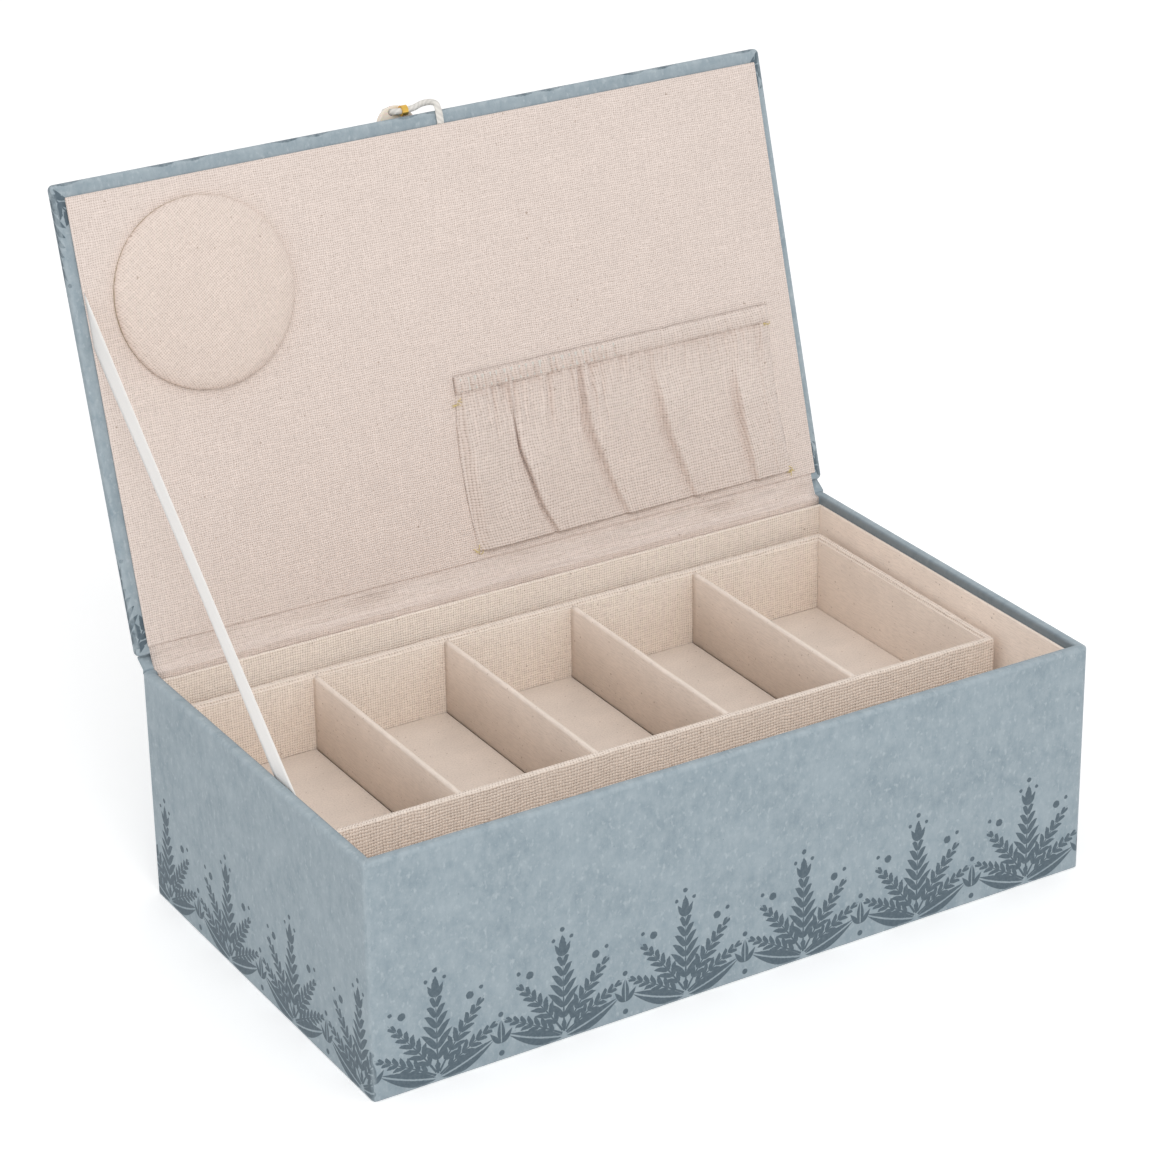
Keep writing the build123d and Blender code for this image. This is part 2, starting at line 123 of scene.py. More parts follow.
class SewingBoxCloth(bpy.types.PropertyGroup):
    def length(label, words, value):
        return bpy.props.FloatProperty(
            name=label, description=words, unit="LENGTH", min=0.0, precision=5, default=value
        )

    lid_pitch: length("Lid thread pitch", "Distance between threads of the lid linen", 0.88 * MM)
    tray_pitch: length("Tray thread pitch", "Distance between threads of the tray linen", 1.12 * MM)
    pocket_pitch: length("Pocket thread pitch", "Distance between threads of the pocket", 1.12 * MM)
    cushion_pitch: length("Cushion thread pitch", "Distance between threads of the pincushion", 0.84 * MM)
    cotton_pitch: length("Cotton rib pitch", "Distance between the fine ribs of the cotton", 0.7 * MM)
    print_pitch: length("Print pitch", "Distance between sprigs of the border", 50 * MM)
    cover_thickness: length("Cover thickness", "Thickness of the printed cover", 0.5 * MM)
    rim_softness: length("Rim softness", "Radius of the cover over an edge", 1.1 * MM)
    tray_softness: length("Tray softness", "Radius of the linen over the tray's rim", 1.0 * MM)
    panel_softness: length("Panel softness", "Radius of a lining panel's edges", 0.45 * MM)


class SewingBoxStage(bpy.types.PropertyGroup):
    camera_place: bpy.props.FloatVectorProperty(
        name="Camera place", description="Where the camera stands", subtype="TRANSLATION", size=3,
        default=(-0.6229, -1.0171, 0.6773),
    )
    camera_azimuth: bpy.props.FloatProperty(
        name="Azimuth", description="Turn of the view from straight at the front", subtype="ANGLE",
        default=math.radians(30.802),
    )
    camera_drop: bpy.props.FloatProperty(
        name="Drop", description="How far the view points down", subtype="ANGLE",
        default=math.radians(24.833),
    )
    camera_roll: bpy.props.FloatProperty(
        name="Roll", description="Tilt of the picture", subtype="ANGLE", default=math.radians(-0.953)
    )
    camera_lens: bpy.props.FloatProperty(
        name="Lens", description="Focal length on a 36 mm sensor", unit="CAMERA", default=114.08
    )
    sky: bpy.props.FloatProperty(name="Sky", description="Strength of the even light", min=0.0, default=0.78)
    key: bpy.props.FloatProperty(name="Key", description="Power of the soft lamp in watts", min=0.0, default=18.0)


def colours():
    return bpy.context.scene.sewing_box_colours


def cloth():
    return bpy.context.scene.sewing_box_cloth


# Shader nodes


class Shade:
    """Adds nodes to one tree. An input is a number, a vector, a colour or another node's socket."""

    def __init__(self, tree):
        self.tree = tree

    def feed(self, socket, value):
        if isinstance(value, bpy.types.NodeSocket):
            self.tree.links.new(value, socket)
        elif socket.type == "RGBA" and len(value) == 3:
            socket.default_value = (*value, 1.0)
        else:
            socket.default_value = value

    def add(self, kind, settings=None, **inputs):
        node = self.tree.nodes.new(kind)
        for name, value in (settings or {}).items():
            setattr(node, name, value)
        for name, value in inputs.items():
            self.feed(node.inputs[name.replace("_", " ")], value)
        return node

    def math(self, operation, *values):
        node = self.add("ShaderNodeMath", {"operation": operation})
        for socket, value in zip(node.inputs, values):
            self.feed(socket, value)
        return node.outputs[0]

    def mix(self, share, first, second):
        node = self.add("ShaderNodeMix", {"data_type": "RGBA"})
        self.feed(node.inputs[0], share)
        self.feed(node.inputs[6], first)
        self.feed(node.inputs[7], second)
        return node.outputs[2]

    def noise(self, vector, size, detail=2.0, roughness=0.5):
        node = self.add("ShaderNodeTexNoise", Vector=vector, Scale=1 / size, Detail=detail, Roughness=roughness)
        return node.outputs["Fac"]

    def between(self, value, low, high):
        """0 below low, 1 above high and a straight slope from one to the other."""
        node = self.add("ShaderNodeMapRange")
        for index, given in enumerate((value, low, high)):
            self.feed(node.inputs[index], given)
        return node.outputs[0]

    def scaled(self, vector, factors):
        node = self.add("ShaderNodeVectorMath", {"operation": "MULTIPLY"})
        self.feed(node.inputs[0], vector)
        self.feed(node.inputs[1], factors)
        return node.outputs[0]

    def moved(self, vector, by, operation="ADD"):
        node = self.add("ShaderNodeVectorMath", {"operation": operation})
        self.feed(node.inputs[0], vector)
        self.feed(node.inputs[1], by)
        return node.outputs[0]

    def parts(self, vector):
        return self.add("ShaderNodeSeparateXYZ", Vector=vector).outputs

    def joined(self, x, y):
        return self.add("ShaderNodeCombineXYZ", X=x, Y=y).outputs[0]

    def group(self, name, **inputs):
        node = self.tree.nodes.new("ShaderNodeGroup")
        node.node_tree = bpy.data.node_groups[name]
        for label, value in inputs.items():
            self.feed(node.inputs[label.replace("_", " ")], value)
        return node.outputs

    def uv(self):
        return self.add("ShaderNodeUVMap", {"uv_map": "UVMap"}).outputs[0]

    def place(self):
        return self.add("ShaderNodeTexCoord").outputs["Object"]

    def attribute(self, name):
        return self.add("ShaderNodeAttribute", {"attribute_name": name}).outputs["Fac"]


def new_group(name, inputs, outputs):
    """A shader node group, as its Shade, its input sockets and its output sockets."""
    tree = bpy.data.node_groups.new(name, "ShaderNodeTree")
    for label, kind, value in inputs:
        socket = tree.interface.new_socket(name=label, in_out="INPUT", socket_type="NodeSocket" + kind)
        socket.default_value = value
    for label, kind in outputs:
        tree.interface.new_socket(name=label, in_out="OUTPUT", socket_type="NodeSocket" + kind)
    source = tree.nodes.new("NodeGroupInput")
    sink = tree.nodes.new("NodeGroupOutput")
    return Shade(tree), source.outputs, sink.inputs


def build_weave_group():
    """Plain weave: rounded threads that pass over and under each other, a little unevenly."""
    shade, given, result = new_group(
        "Plain weave",
        [("Vector", "Vector", (0, 0, 0)), ("Pitch", "Float", 0.001), ("Looseness", "Float", 0.3)],
        [("Height", "Float"), ("Gap", "Float"), ("Tone", "Float")],
    )
    threads_across_wander = 14
    per_thread = shade.math("DIVIDE", 1.0, given["Pitch"])
    counted = shade.scaled(given["Vector"], shade.joined(per_thread, per_thread))
    wander = shade.add(
        "ShaderNodeTexNoise", {"noise_dimensions": "2D"}, Vector=counted, Scale=1 / threads_across_wander,
        Detail=3.0, Roughness=0.6,
    ).outputs["Color"]
    pushed = shade.moved(wander, (0.5, 0.5, 0.5), "SUBTRACT")
    stretch = shade.math("MULTIPLY", given["Looseness"], threads_across_wander / 2)
    counted = shade.moved(counted, shade.scaled(pushed, shade.joined(stretch, stretch)))
    x, y, _ = shade.parts(counted)
    across_x, across_y = shade.math("FRACT", x), shade.math("FRACT", y)
    row, column = shade.math("FLOOR", x), shade.math("FLOOR", y)
    odd = shade.math("MULTIPLY", shade.math("FRACT", shade.math("MULTIPLY", shade.math("ADD", row, column), 0.5)), 2)

    def thread(across, along, lies_over):
        """Height of a thread whose section runs along across and which rises along along."""
        centred = shade.math("SUBTRACT", shade.math("MULTIPLY", across, 2), 1)
        section = shade.math("SQRT", shade.math("MAXIMUM", shade.math(
            "SUBTRACT", 1, shade.math("MULTIPLY", shade.math("MULTIPLY", centred, centred), 1.12)), 0))
        arch = shade.math("SINE", shade.math("MULTIPLY", along, math.pi))
        rise = shade.math("MULTIPLY_ADD", shade.math("MULTIPLY", arch, lies_over), 0.45, 0.5)
        return shade.math("MULTIPLY", section, rise)

    over_y = shade.math("SUBTRACT", 1, odd)
    warp = thread(across_x, across_y, odd)
    weft = thread(across_y, across_x, over_y)
    height = shade.math("MAXIMUM", warp, weft)
    gap = shade.between(height, 0.6, 0.2)

    def thread_tone(number, run):
        spot = shade.joined(number, shade.math("MULTIPLY", run, 0.06))
        return shade.add(
            "ShaderNodeTexNoise", {"noise_dimensions": "2D"}, Vector=spot, Scale=0.9, Detail=1.0
        ).outputs["Fac"]

    on_top = shade.math("GREATER_THAN", warp, weft)
    tones = shade.add("ShaderNodeMix")
    shade.feed(tones.inputs[0], on_top)
    shade.feed(tones.inputs[2], thread_tone(shade.math("ADD", column, 0.37), x))
    shade.feed(tones.inputs[3], thread_tone(shade.math("ADD", row, 57.3), y))
    shade.feed(result["Height"], height)
    shade.feed(result["Gap"], gap)
    shade.feed(result["Tone"], tones.outputs[0])


def build_mottle_group():
    """Soft patches, upright brush strokes and pale flecks of a hand-made looking cover."""
    shade, given, result = new_group(
        "Cover mottle",
        [("Vector", "Vector", (0, 0, 0))],
        [("Patch", "Float"), ("Stroke", "Float"), ("Fleck", "Float"), ("Grain", "Float")],
    )
    patch = shade.noise(given["Vector"], 22 * MM, detail=4.0, roughness=0.6)
    upright = shade.scaled(given["Vector"], (1.0, 0.62, 1.0))
    stroke = shade.noise(upright, 4.4 * MM, detail=6.0, roughness=0.72)
    fleck = shade.noise(shade.moved(upright, (3.1, 1.7, 0)), 1.9 * MM, detail=2.0, roughness=0.6)
    grain = shade.noise(given["Vector"], 0.35 * MM, detail=2.0)
    shade.feed(result["Patch"], shade.between(patch, 0.35, 0.68))
    shade.feed(result["Stroke"], shade.between(stroke, 0.34, 0.68))
    shade.feed(result["Fleck"], shade.between(fleck, 0.57, 0.72))
    shade.feed(result["Grain"], grain)


PRINT_EDGE = 0.25
PRINT_OVER_EDGE = 6 * MM


def turned_about(shade, given):
    """A point of the border, in millimetres, as (across, along) from an origin along an angle."""
    from_origin = shade.moved(given["Vector"], given["Origin"], "SUBTRACT")
    turned = shade.add(
        "ShaderNodeVectorRotate", {"rotation_type": "Z_AXIS"}, Vector=from_origin, Angle=given["Angle"]
    ).outputs[0]
    return shade.parts(turned)


def build_leaf_group():
    """One pointed leaf of the border, bent along its length, with a pale vein."""
    shade, given, result = new_group(
        "Border leaf",
        [
            ("Vector", "Vector", (0, 0, 0)), ("Origin", "Vector", (0, 0, 0)), ("Angle", "Float", 0.0),
            ("Length", "Float", 10.0), ("Width", "Float", 1.0), ("Bend", "Float", 0.0), ("Vein", "Float", 0.0),
        ],
        [("Mask", "Float")],
    )
    across, along, _ = turned_about(shade, given)
    share = shade.math("DIVIDE", along, given["Length"])
    bow = shade.math("MULTIPLY", shade.math("MULTIPLY", share, share), given["Bend"])
    off_axis = shade.math("ABSOLUTE", shade.math("SUBTRACT", across, bow))
    fullness = shade.math("MAXIMUM", shade.math("MULTIPLY", share, shade.math("SUBTRACT", 1, share)), 0.0)
    skew = shade.math("SUBTRACT", 5.2, shade.math("MULTIPLY", share, 2.4))
    half_width = shade.math("MULTIPLY", shade.math("MULTIPLY", fullness, skew), given["Width"])
    inside = shade.math("SUBTRACT", half_width, off_axis)
    filled = shade.between(inside, -PRINT_EDGE / 2, PRINT_EDGE / 2)
    vein = shade.between(shade.math("SUBTRACT", given["Vein"], off_axis), -PRINT_EDGE / 2, PRINT_EDGE / 2)
    vein = shade.math("MULTIPLY", vein, shade.math("GREATER_THAN", given["Vein"], 0.0))
    filled = shade.math("MULTIPLY", filled, shade.math("GREATER_THAN", fullness, 0.0))
    shade.feed(result["Mask"], shade.math("MULTIPLY", filled, shade.math("SUBTRACT", 1, vein)))


def build_sprig_group():
    """A bent stem with pairs of small leaves that shorten towards its tip."""
    shade, given, result = new_group(
        "Border sprig",
        [
            ("Vector", "Vector", (0, 0, 0)), ("Origin", "Vector", (0, 0, 0)), ("Angle", "Float", 0.0),
            ("Length", "Float", 30.0), ("Reach", "Float", 6.0), ("Spacing", "Float", 4.0),
            ("Bend", "Float", 0.0),
        ],
        [("Mask", "Float")],
    )
    leaf_slant = 1.0
    leaf_fullness = 0.44
    stem_width = 0.42
    across, along, _ = turned_about(shade, given)
    share = shade.math("DIVIDE", along, given["Length"])
    bow = shade.math("MULTIPLY", shade.math("MULTIPLY", share, share), given["Bend"])
    off_axis = shade.math("ABSOLUTE", shade.math("SUBTRACT", across, bow))
    climb = shade.math("SUBTRACT", along, shade.math("MULTIPLY", off_axis, leaf_slant))
    counted = shade.math("DIVIDE", climb, given["Spacing"])
    off_leaf = shade.math("ABSOLUTE", shade.math("SUBTRACT", shade.math("FRACT", counted), 0.5))
    foot = shade.math("MULTIPLY", shade.math("ADD", shade.math("FLOOR", counted), 0.5), given["Spacing"])
    foot_share = shade.math("DIVIDE", foot, given["Length"])
    taper = shade.math("POWER", shade.math("MAXIMUM", shade.math("SUBTRACT", 1, foot_share), 0.0), 0.6)
    leaf_reach = shade.math("MULTIPLY", shade.math("MULTIPLY", given["Reach"], taper),
                            shade.between(foot_share, 0.04, 0.22))
    out = shade.math("DIVIDE", off_axis, shade.math("MAXIMUM", leaf_reach, 0.01))
    shape = shade.math("MULTIPLY", shade.math("SQRT", out), shade.math("SUBTRACT", 1, out))
    half_width = shade.math("MULTIPLY", shade.math("MULTIPLY", shape, given["Spacing"]), 2.6 * leaf_fullness)
    inside = shade.math("SUBTRACT", half_width, shade.math("MULTIPLY", off_leaf, given["Spacing"]))
    leaves = shade.between(inside, -PRINT_EDGE / 2, PRINT_EDGE / 2)
    leaves = shade.math("MULTIPLY", leaves, shade.math("GREATER_THAN", foot_share, 0.06))
    leaves = shade.math("MULTIPLY", leaves, shade.math("LESS_THAN", foot_share, 0.97))
    stem_half = shade.math("MULTIPLY", shade.math("SUBTRACT", 1.1, share), stem_width)
    stem = shade.between(shade.math("SUBTRACT", stem_half, off_axis), -PRINT_EDGE / 2, PRINT_EDGE / 2)
    stem = shade.math("MULTIPLY", stem, shade.math("GREATER_THAN", share, 0.0))
    stem = shade.math("MULTIPLY", stem, shade.math("LESS_THAN", share, 1.0))
    shade.feed(result["Mask"], shade.math("MAXIMUM", leaves, stem))


def build_border_group():
    """The whole border: tall sprigs at an even pitch, each with side sprigs, and a sprout between."""
    shade, given, result = new_group(
        "Plant border",
        [
            ("Vector", "Vector", (0, 0, 0)), ("Pitch", "Float", 0.05), ("Phase", "Float", 0.0),
            ("Depth", "Float", 10.0),
        ],
        [("Mask", "Float"), ("Ink", "Float")],
    )
    u, v, _ = shade.parts(given["Vector"])
    counted = shade.math("DIVIDE", shade.math("SUBTRACT", u, given["Phase"]), given["Pitch"])
    off_middle = shade.math("SUBTRACT", shade.math("FRACT", shade.math("ADD", counted, 0.5)), 0.5)
    pitch = shade.math("DIVIDE", given["Pitch"], MM)
    x = shade.math("MULTIPLY", shade.math("ABSOLUTE", off_middle), pitch)
    up = shade.math("DIVIDE", shade.math("MINIMUM", v, shade.math("SUBTRACT", given["Depth"], v)), MM)
    rough = shade.noise(given["Vector"], 0.9 * MM, detail=1.0)
    rough = shade.math("MULTIPLY", shade.math("SUBTRACT", rough, 0.5), 0.55)
    spot = shade.joined(shade.math("ADD", x, rough), shade.math("ADD", up, rough))
    between_spot = shade.joined(
        shade.math("ABSOLUTE", shade.math("SUBTRACT", x, shade.math("DIVIDE", pitch, 2))), up
    )
    degrees = math.radians
    shapes = [
        shade.group("Border sprig", Vector=spot, Origin=(0, 5.0, 0), Length=32.0, Reach=7.8, Spacing=4.2)[0],
        shade.group("Border sprig", Vector=spot, Origin=(0.6, 5.5, 0), Angle=degrees(31), Length=30.0,
                    Reach=5.4, Spacing=3.6, Bend=3.0)[0],
        shade.group("Border sprig", Vector=spot, Origin=(0.8, 4.4, 0), Angle=degrees(57), Length=27.0,
                    Reach=4.8, Spacing=3.2, Bend=1.5)[0],
        shade.group("Border leaf", Vector=spot, Origin=(0.4, 3.2, 0), Angle=degrees(80), Length=23.5,
                    Width=2.9, Bend=-4.2, Vein=0.32)[0],
        shade.group("Border leaf", Vector=spot, Origin=(0, 35.5, 0), Length=8.0, Width=1.5)[0],
        shade.group("Border leaf", Vector=spot, Origin=(0, 35.0, 0), Angle=degrees(40), Length=6.0,
                    Width=1.0, Bend=-1.0)[0],
        shade.group("Border leaf", Vector=between_spot, Origin=(0, 8.5, 0), Length=9.5, Width=1.5, Vein=0.2)[0],
        shade.group("Border leaf", Vector=between_spot, Origin=(0, 8.5, 0), Angle=degrees(52), Length=6.5,
                    Width=1.0, Bend=-1.2)[0],
    ]
    berries = (
        (spot, (13.2, 31.6, 0), 1.5), (spot, (17.6, 33.4, 0), 0.8), (between_spot, (0, 20.0, 0), 1.0),
        (between_spot, (0, 4.6, 0), 1.1), (spot, (0, 45.6, 0), 0.95), (spot, (3.6, 42.0, 0), 0.75),
    )
    for place, centre, radius in berries:
        gap = shade.add("ShaderNodeVectorMath", {"operation": "DISTANCE"})
        shade.feed(gap.inputs[0], place)
        shade.feed(gap.inputs[1], centre)
        shapes.append(shade.between(gap.outputs["Value"], radius + PRINT_EDGE / 2, radius - PRINT_EDGE / 2))
    mask = shapes[0]
    for shape in shapes[1:]:
        mask = shade.math("MAXIMUM", mask, shape)
    wear = shade.noise(given["Vector"], 1.3 * MM, detail=3.0, roughness=0.65)
    shade.feed(result["Mask"], mask)
    shade.feed(result["Ink"], shade.between(wear, 0.25, 0.6))


# Materials


def principled(name, roughness, sheen=0.0, metallic=0.0, coat=0.0):
    """A new material with its constants on the shader's own sockets."""
    material = bpy.data.materials.new(name)
    material.use_nodes = True
    shader = material.node_tree.nodes["Principled BSDF"]
    shader.inputs["Roughness"].default_value = roughness
    shader.inputs["Sheen Weight"].default_value = sheen
    shader.inputs["Metallic"].default_value = metallic
    shader.inputs["Coat Weight"].default_value = coat
    return material, Shade(material.node_tree), shader


def raise_bump(shade, shader, height, depth, strength=1.0):
    bump = shade.add("ShaderNodeBump", Height=height, Distance=depth, Strength=strength)
    shade.feed(shader.inputs["Normal"], bump.outputs[0])


def cover_material(name, border, phase=0.0, depth=10.0):
    """Mottled blue-grey cover, with or without the plant border."""
    material, shade, shader = principled(name, 0.78, sheen=0.08)
    place = shade.uv() if border else shade.place()
    mottle = shade.group("Cover mottle", Vector=place)
    colour = shade.mix(mottle["Patch"], colours().cover_dark, colours().cover)
    colour = shade.mix(shade.math("MULTIPLY", mottle["Stroke"], 0.6), colour, colours().cover_pale)
    colour = shade.mix(shade.math("MULTIPLY", mottle["Fleck"], 0.8), colour, colours().cover_pale)
    dark_fleck = shade.noise(shade.moved(place, (7.3, 2.9, 0)), 1.2 * MM, detail=1.0)
    dark_fleck = shade.math("MULTIPLY", shade.between(dark_fleck, 0.72, 0.8), 0.45)
    colour = shade.mix(dark_fleck, colour, [c * 0.7 for c in colours().cover_dark])
    worn = shade.math("MULTIPLY", shade.attribute("edge"), shade.between(mottle["Stroke"], 0.0, 0.8))
    if border:
        drawn = shade.group("Plant border", Vector=place, Pitch=cloth().print_pitch, Phase=phase, Depth=depth)
        cover_up = shade.math("MULTIPLY", drawn["Mask"], shade.math("MULTIPLY_ADD", drawn["Ink"], 0.16, 0.84))
        cover_up = shade.math("MULTIPLY", cover_up, shade.math("SUBTRACT", 1, shade.math("MULTIPLY", worn, 0.5)))
        colour = shade.mix(cover_up, colour, colours().ink)
    colour = shade.mix(shade.math("MULTIPLY", worn, 0.42), colour, colours().cover_pale)
    # Painted shade: the cover turned down inside the walls is darkened towards half of cover_dark.
    inside = shade.math("MULTIPLY", shade.attribute("inside"), 0.62)
    colour = shade.mix(inside, colour, [c * 0.5 for c in colours().cover_dark])
    shade.feed(shader.inputs["Base Color"], colour)
    height = shade.math("MULTIPLY_ADD", mottle["Stroke"], 0.6, shade.math("MULTIPLY", mottle["Grain"], 0.4))
    raise_bump(shade, shader, height, 0.13 * MM, 0.6)
    return material


def linen_material(name, colour, pitch, gap_share=0.75, loose=0.35, crease_shade=0.0):
    """Natural linen in plain weave, with thread tones, slubs and a few dark specks.

    The last argument is the strength of the painted shade in the long creases of a cloth that is bent again and again
    along U; the creases are also sunk in the bump."""
    material, shade, shader = principled(name, 0.93, sheen=0.12)
    place = shade.uv()
    weave = shade.group("Plain weave", Vector=place, Pitch=pitch, Looseness=loose)
    base = shade.mix(shade.between(weave["Tone"], 0.32, 0.68), [c * 0.95 for c in colour],
                     [min(c * 1.04, 1.0) for c in colour])
    soft = shade.noise(place, 30 * MM, detail=3.0)
    base = shade.mix(shade.math("MULTIPLY", shade.between(soft, 0.3, 0.7), 0.3), base,
                     [c * 0.93 for c in colour])
    knots = shade.noise(place, pitch * 1.7, detail=2.0, roughness=0.7)
    base = shade.mix(shade.math("MULTIPLY", shade.between(knots, 0.52, 0.34), 0.3), base,
                     [c * 0.82 for c in colour])
    hole = shade.math("MULTIPLY", weave["Gap"], shade.between(knots, 0.8, 0.3))
    base = shade.mix(shade.math("MULTIPLY", hole, gap_share), base, colours().thread_gap)
    speck = shade.noise(shade.moved(place, (5.2, 8.1, 0)), 1.6 * MM, detail=0.0)
    base = shade.mix(shade.math("MULTIPLY", shade.between(speck, 0.835, 0.86), 0.6), base, colours().thread_gap)
    height = weave["Height"]
    if crease_shade:
        crease = shade.noise(shade.scaled(place, (0.07, 1.0, 1.0)), 1.3 * MM, detail=2.0, roughness=0.6)
        crease = shade.between(crease, 0.56, 0.4)
        # Painted shade: the creases are darkened towards the thread gap colour.
        base = shade.mix(shade.math("MULTIPLY", crease, crease_shade), base, colours().thread_gap)
        height = shade.math("SUBTRACT", height, shade.math("MULTIPLY", crease, 0.3))
    shade.feed(shader.inputs["Base Color"], base)
    raise_bump(shade, shader, height, pitch * 0.36, 0.9)
    return material


def cotton_material(name, colour, ribs):
    """Smooth cotton, with fine level ribs on walls and dividers and small flecks on floors."""
    material, shade, shader = principled(name, 0.9, sheen=0.08)
    place = shade.uv()
    long_way = shade.scaled(place, (0.12, 1.0, 1.0))
    rib = shade.noise(long_way, cloth().cotton_pitch * 0.75, detail=2.0, roughness=0.6)
    fine = shade.noise(place, 0.6 * MM, detail=2.0)
    soft = shade.noise(place, 18 * MM, detail=4.0, roughness=0.6)
    base = shade.mix(shade.between(soft, 0.3, 0.7), [c * 0.93 for c in colour], [c * 1.03 for c in colour])
    texture = shade.math("ADD", shade.math("MULTIPLY", rib, ribs), shade.math("MULTIPLY", fine, 1 - ribs))
    base = shade.mix(shade.math("MULTIPLY", shade.between(texture, 0.56, 0.36), 0.42), base,
                     [c * 0.72 for c in colour])
    fleck = shade.noise(shade.moved(place, (2.4, 6.6, 0)), 1.1 * MM, detail=0.0)
    base = shade.mix(shade.math("MULTIPLY", shade.between(fleck, 0.77, 0.83), 0.6), base, colours().thread_gap)
    shade.feed(shader.inputs["Base Color"], base)
    raise_bump(shade, shader, texture, 0.16 * MM, 0.6)
    return material


def satin_material():
    material, shade, shader = principled("satin_weave", 0.42, sheen=0.2)
    place = shade.uv()
    fibre = shade.noise(shade.scaled(place, (1.0, 0.02, 1.0)), 0.18 * MM, detail=2.0)
    ridge = shade.math("SINE", shade.math("MULTIPLY", shade.parts(place)[1], 2 * math.pi / (0.35 * MM)))
    tone = shade.mix(shade.between(fibre, 0.3, 0.7), [c * 0.95 for c in colours().satin], colours().satin)
    shade.feed(shader.inputs["Base Color"], tone)
    height = shade.math("MULTIPLY_ADD", ridge, 0.15, fibre)
    raise_bump(shade, shader, height, 0.05 * MM, 0.5)
    return material


def cord_material(name, colour, twist_pitch):
    """Twisted yarn, whose strands wind round the cord along its UV map."""
    material, shade, shader = principled(name, 0.85, sheen=0.25)
    around, along, _ = shade.parts(shade.uv())
    turn = shade.math("ADD", shade.math("MULTIPLY", around, 3 * 2 * math.pi),
                      shade.math("MULTIPLY", along, 2 * math.pi / twist_pitch))
    strand = shade.math("MULTIPLY_ADD", shade.math("SINE", turn), 0.5, 0.5)
    fuzz = shade.noise(shade.place(), 0.25 * MM, detail=2.0)
    colour_now = shade.mix(shade.math("MULTIPLY", strand, 0.8), [c * 0.8 for c in colour], colour)
    shade.feed(shader.inputs["Base Color"], colour_now)
    raise_bump(shade, shader, shade.math("MULTIPLY_ADD", fuzz, 0.4, strand), 0.18 * MM, 0.7)
    return material


def brass_material():
    material, shade, shader = principled("bead_brass", 0.24, metallic=1.0)
    scratch = shade.noise(shade.scaled(shade.place(), (0.3, 1.0, 1.0)), 0.4 * MM, detail=3.0)
    shade.feed(shader.inputs["Base Color"], shade.mix(scratch, [c * 0.8 for c in colours().brass], colours().brass))
    raise_bump(shade, shader, scratch, 0.02 * MM, 0.4)
    return material


def shell_material():
    """Cream shell with faint growth bands."""
    material, shade, shader = principled("disc_shell", 0.22, coat=0.35)
    place = shade.place()
    cloudy = shade.noise(place, 6 * MM, detail=3.0)
    band = shade.noise(shade.scaled(place, (0.35, 1.0, 1.6)), 1.1 * MM, detail=2.0)
    colour = shade.mix(shade.between(cloudy, 0.3, 0.7), [c * 0.9 for c in colours().shell], colours().shell)
    colour = shade.mix(shade.math("MULTIPLY", shade.between(band, 0.45, 0.7), 0.3), colour, (0.9, 0.84, 0.74))
    shade.feed(shader.inputs["Base Color"], colour)
    shader.inputs["Subsurface Weight"].default_value = 0.15
    shader.inputs["Subsurface Scale"].default_value = 1.0 * MM
    return material


def board_material(name, colour):
    """Grey-brown board with a soft grain, hidden under the coverings."""
    material, shade, shader = principled(name, 0.85)
    grain = shade.noise(shade.scaled(shade.place(), (0.08, 1.0, 1.0)), 1.2 * MM, detail=4.0, roughness=0.6)
    shade.feed(shader.inputs["Base Color"], shade.mix(grain, [c * 0.75 for c in colour], colour))
    raise_bump(shade, shader, grain, 0.08 * MM, 0.5)
    return material


def elastic_material():
    material, shade, shader = principled("elastic_band", 0.8)
    rib = shade.math("SINE", shade.math("MULTIPLY", shade.parts(shade.place())[0], 2 * math.pi / (0.8 * MM)))
    rib = shade.math("MULTIPLY_ADD", rib, 0.5, 0.5)
    shade.feed(shader.inputs["Base Color"], shade.mix(rib, (0.6, 0.57, 0.52), (0.8, 0.78, 0.74)))
    raise_bump(shade, shader, rib, 0.1 * MM)
    return material


def material(name):
    return bpy.data.materials[name]


# Meshes


def rounded(points, radii, steps=5, margin=0.0):
    """A path with its inner corners rounded, as (point, on a round corner) pairs.

    With a margin, a further point stands that far before and after each round corner."""
    path = [(Vector(points[0]), False)]
    for before, here, after, radius in zip(points, points[1:], points[2:], radii):
        here = Vector(here)
        into = (here - Vector(before)).normalized()
        out_of = (Vector(after) - here).normalized()
        turn = math.acos(max(-1.0, min(1.0, into.dot(out_of))))
        back = radius * math.tan(turn / 2)
        centre = here + (out_of - into).normalized() * (radius / math.cos(turn / 2))
        first = here - into * back - centre
        last = here + out_of * back - centre
        if margin:
            path.append((centre + first - into * margin, False))
        for step in range(steps + 1):
            share = step / steps
            swung = first * math.sin((1 - share) * turn) + last * math.sin(share * turn)
            path.append((centre + swung / math.sin(turn), True))
        if margin:
            path.append((centre + last + out_of * margin, False))
    path.append((Vector(points[-1]), False))
    return path


def lengths_along(path):
    """The distance of each (point, flag) of a path from its start."""
    total = 0.0
    found = [0.0]
    for (before, _), (here, _) in zip(path, path[1:]):
        total += (here - before).length
        found.append(total)
    return found


def finished(mesh_maker, name, material_name, transform=None, smooth=True):
    """A new object from a bmesh, with its material, its doubles merged and its faces smooth."""
    bmesh.ops.remove_doubles(mesh_maker, verts=mesh_maker.verts, dist=1e-6)
    mesh = bpy.data.meshes.new(name)
    mesh_maker.to_mesh(mesh)
    mesh_maker.free()
    if transform is not None:
        mesh.transform(transform)
    mesh.polygons.foreach_set("use_smooth", [smooth] * len(mesh.polygons))
    piece = bpy.data.objects.new(name, mesh)
    bpy.context.scene.collection.objects.link(piece)
    mesh.materials.append(material(material_name))
    return piece


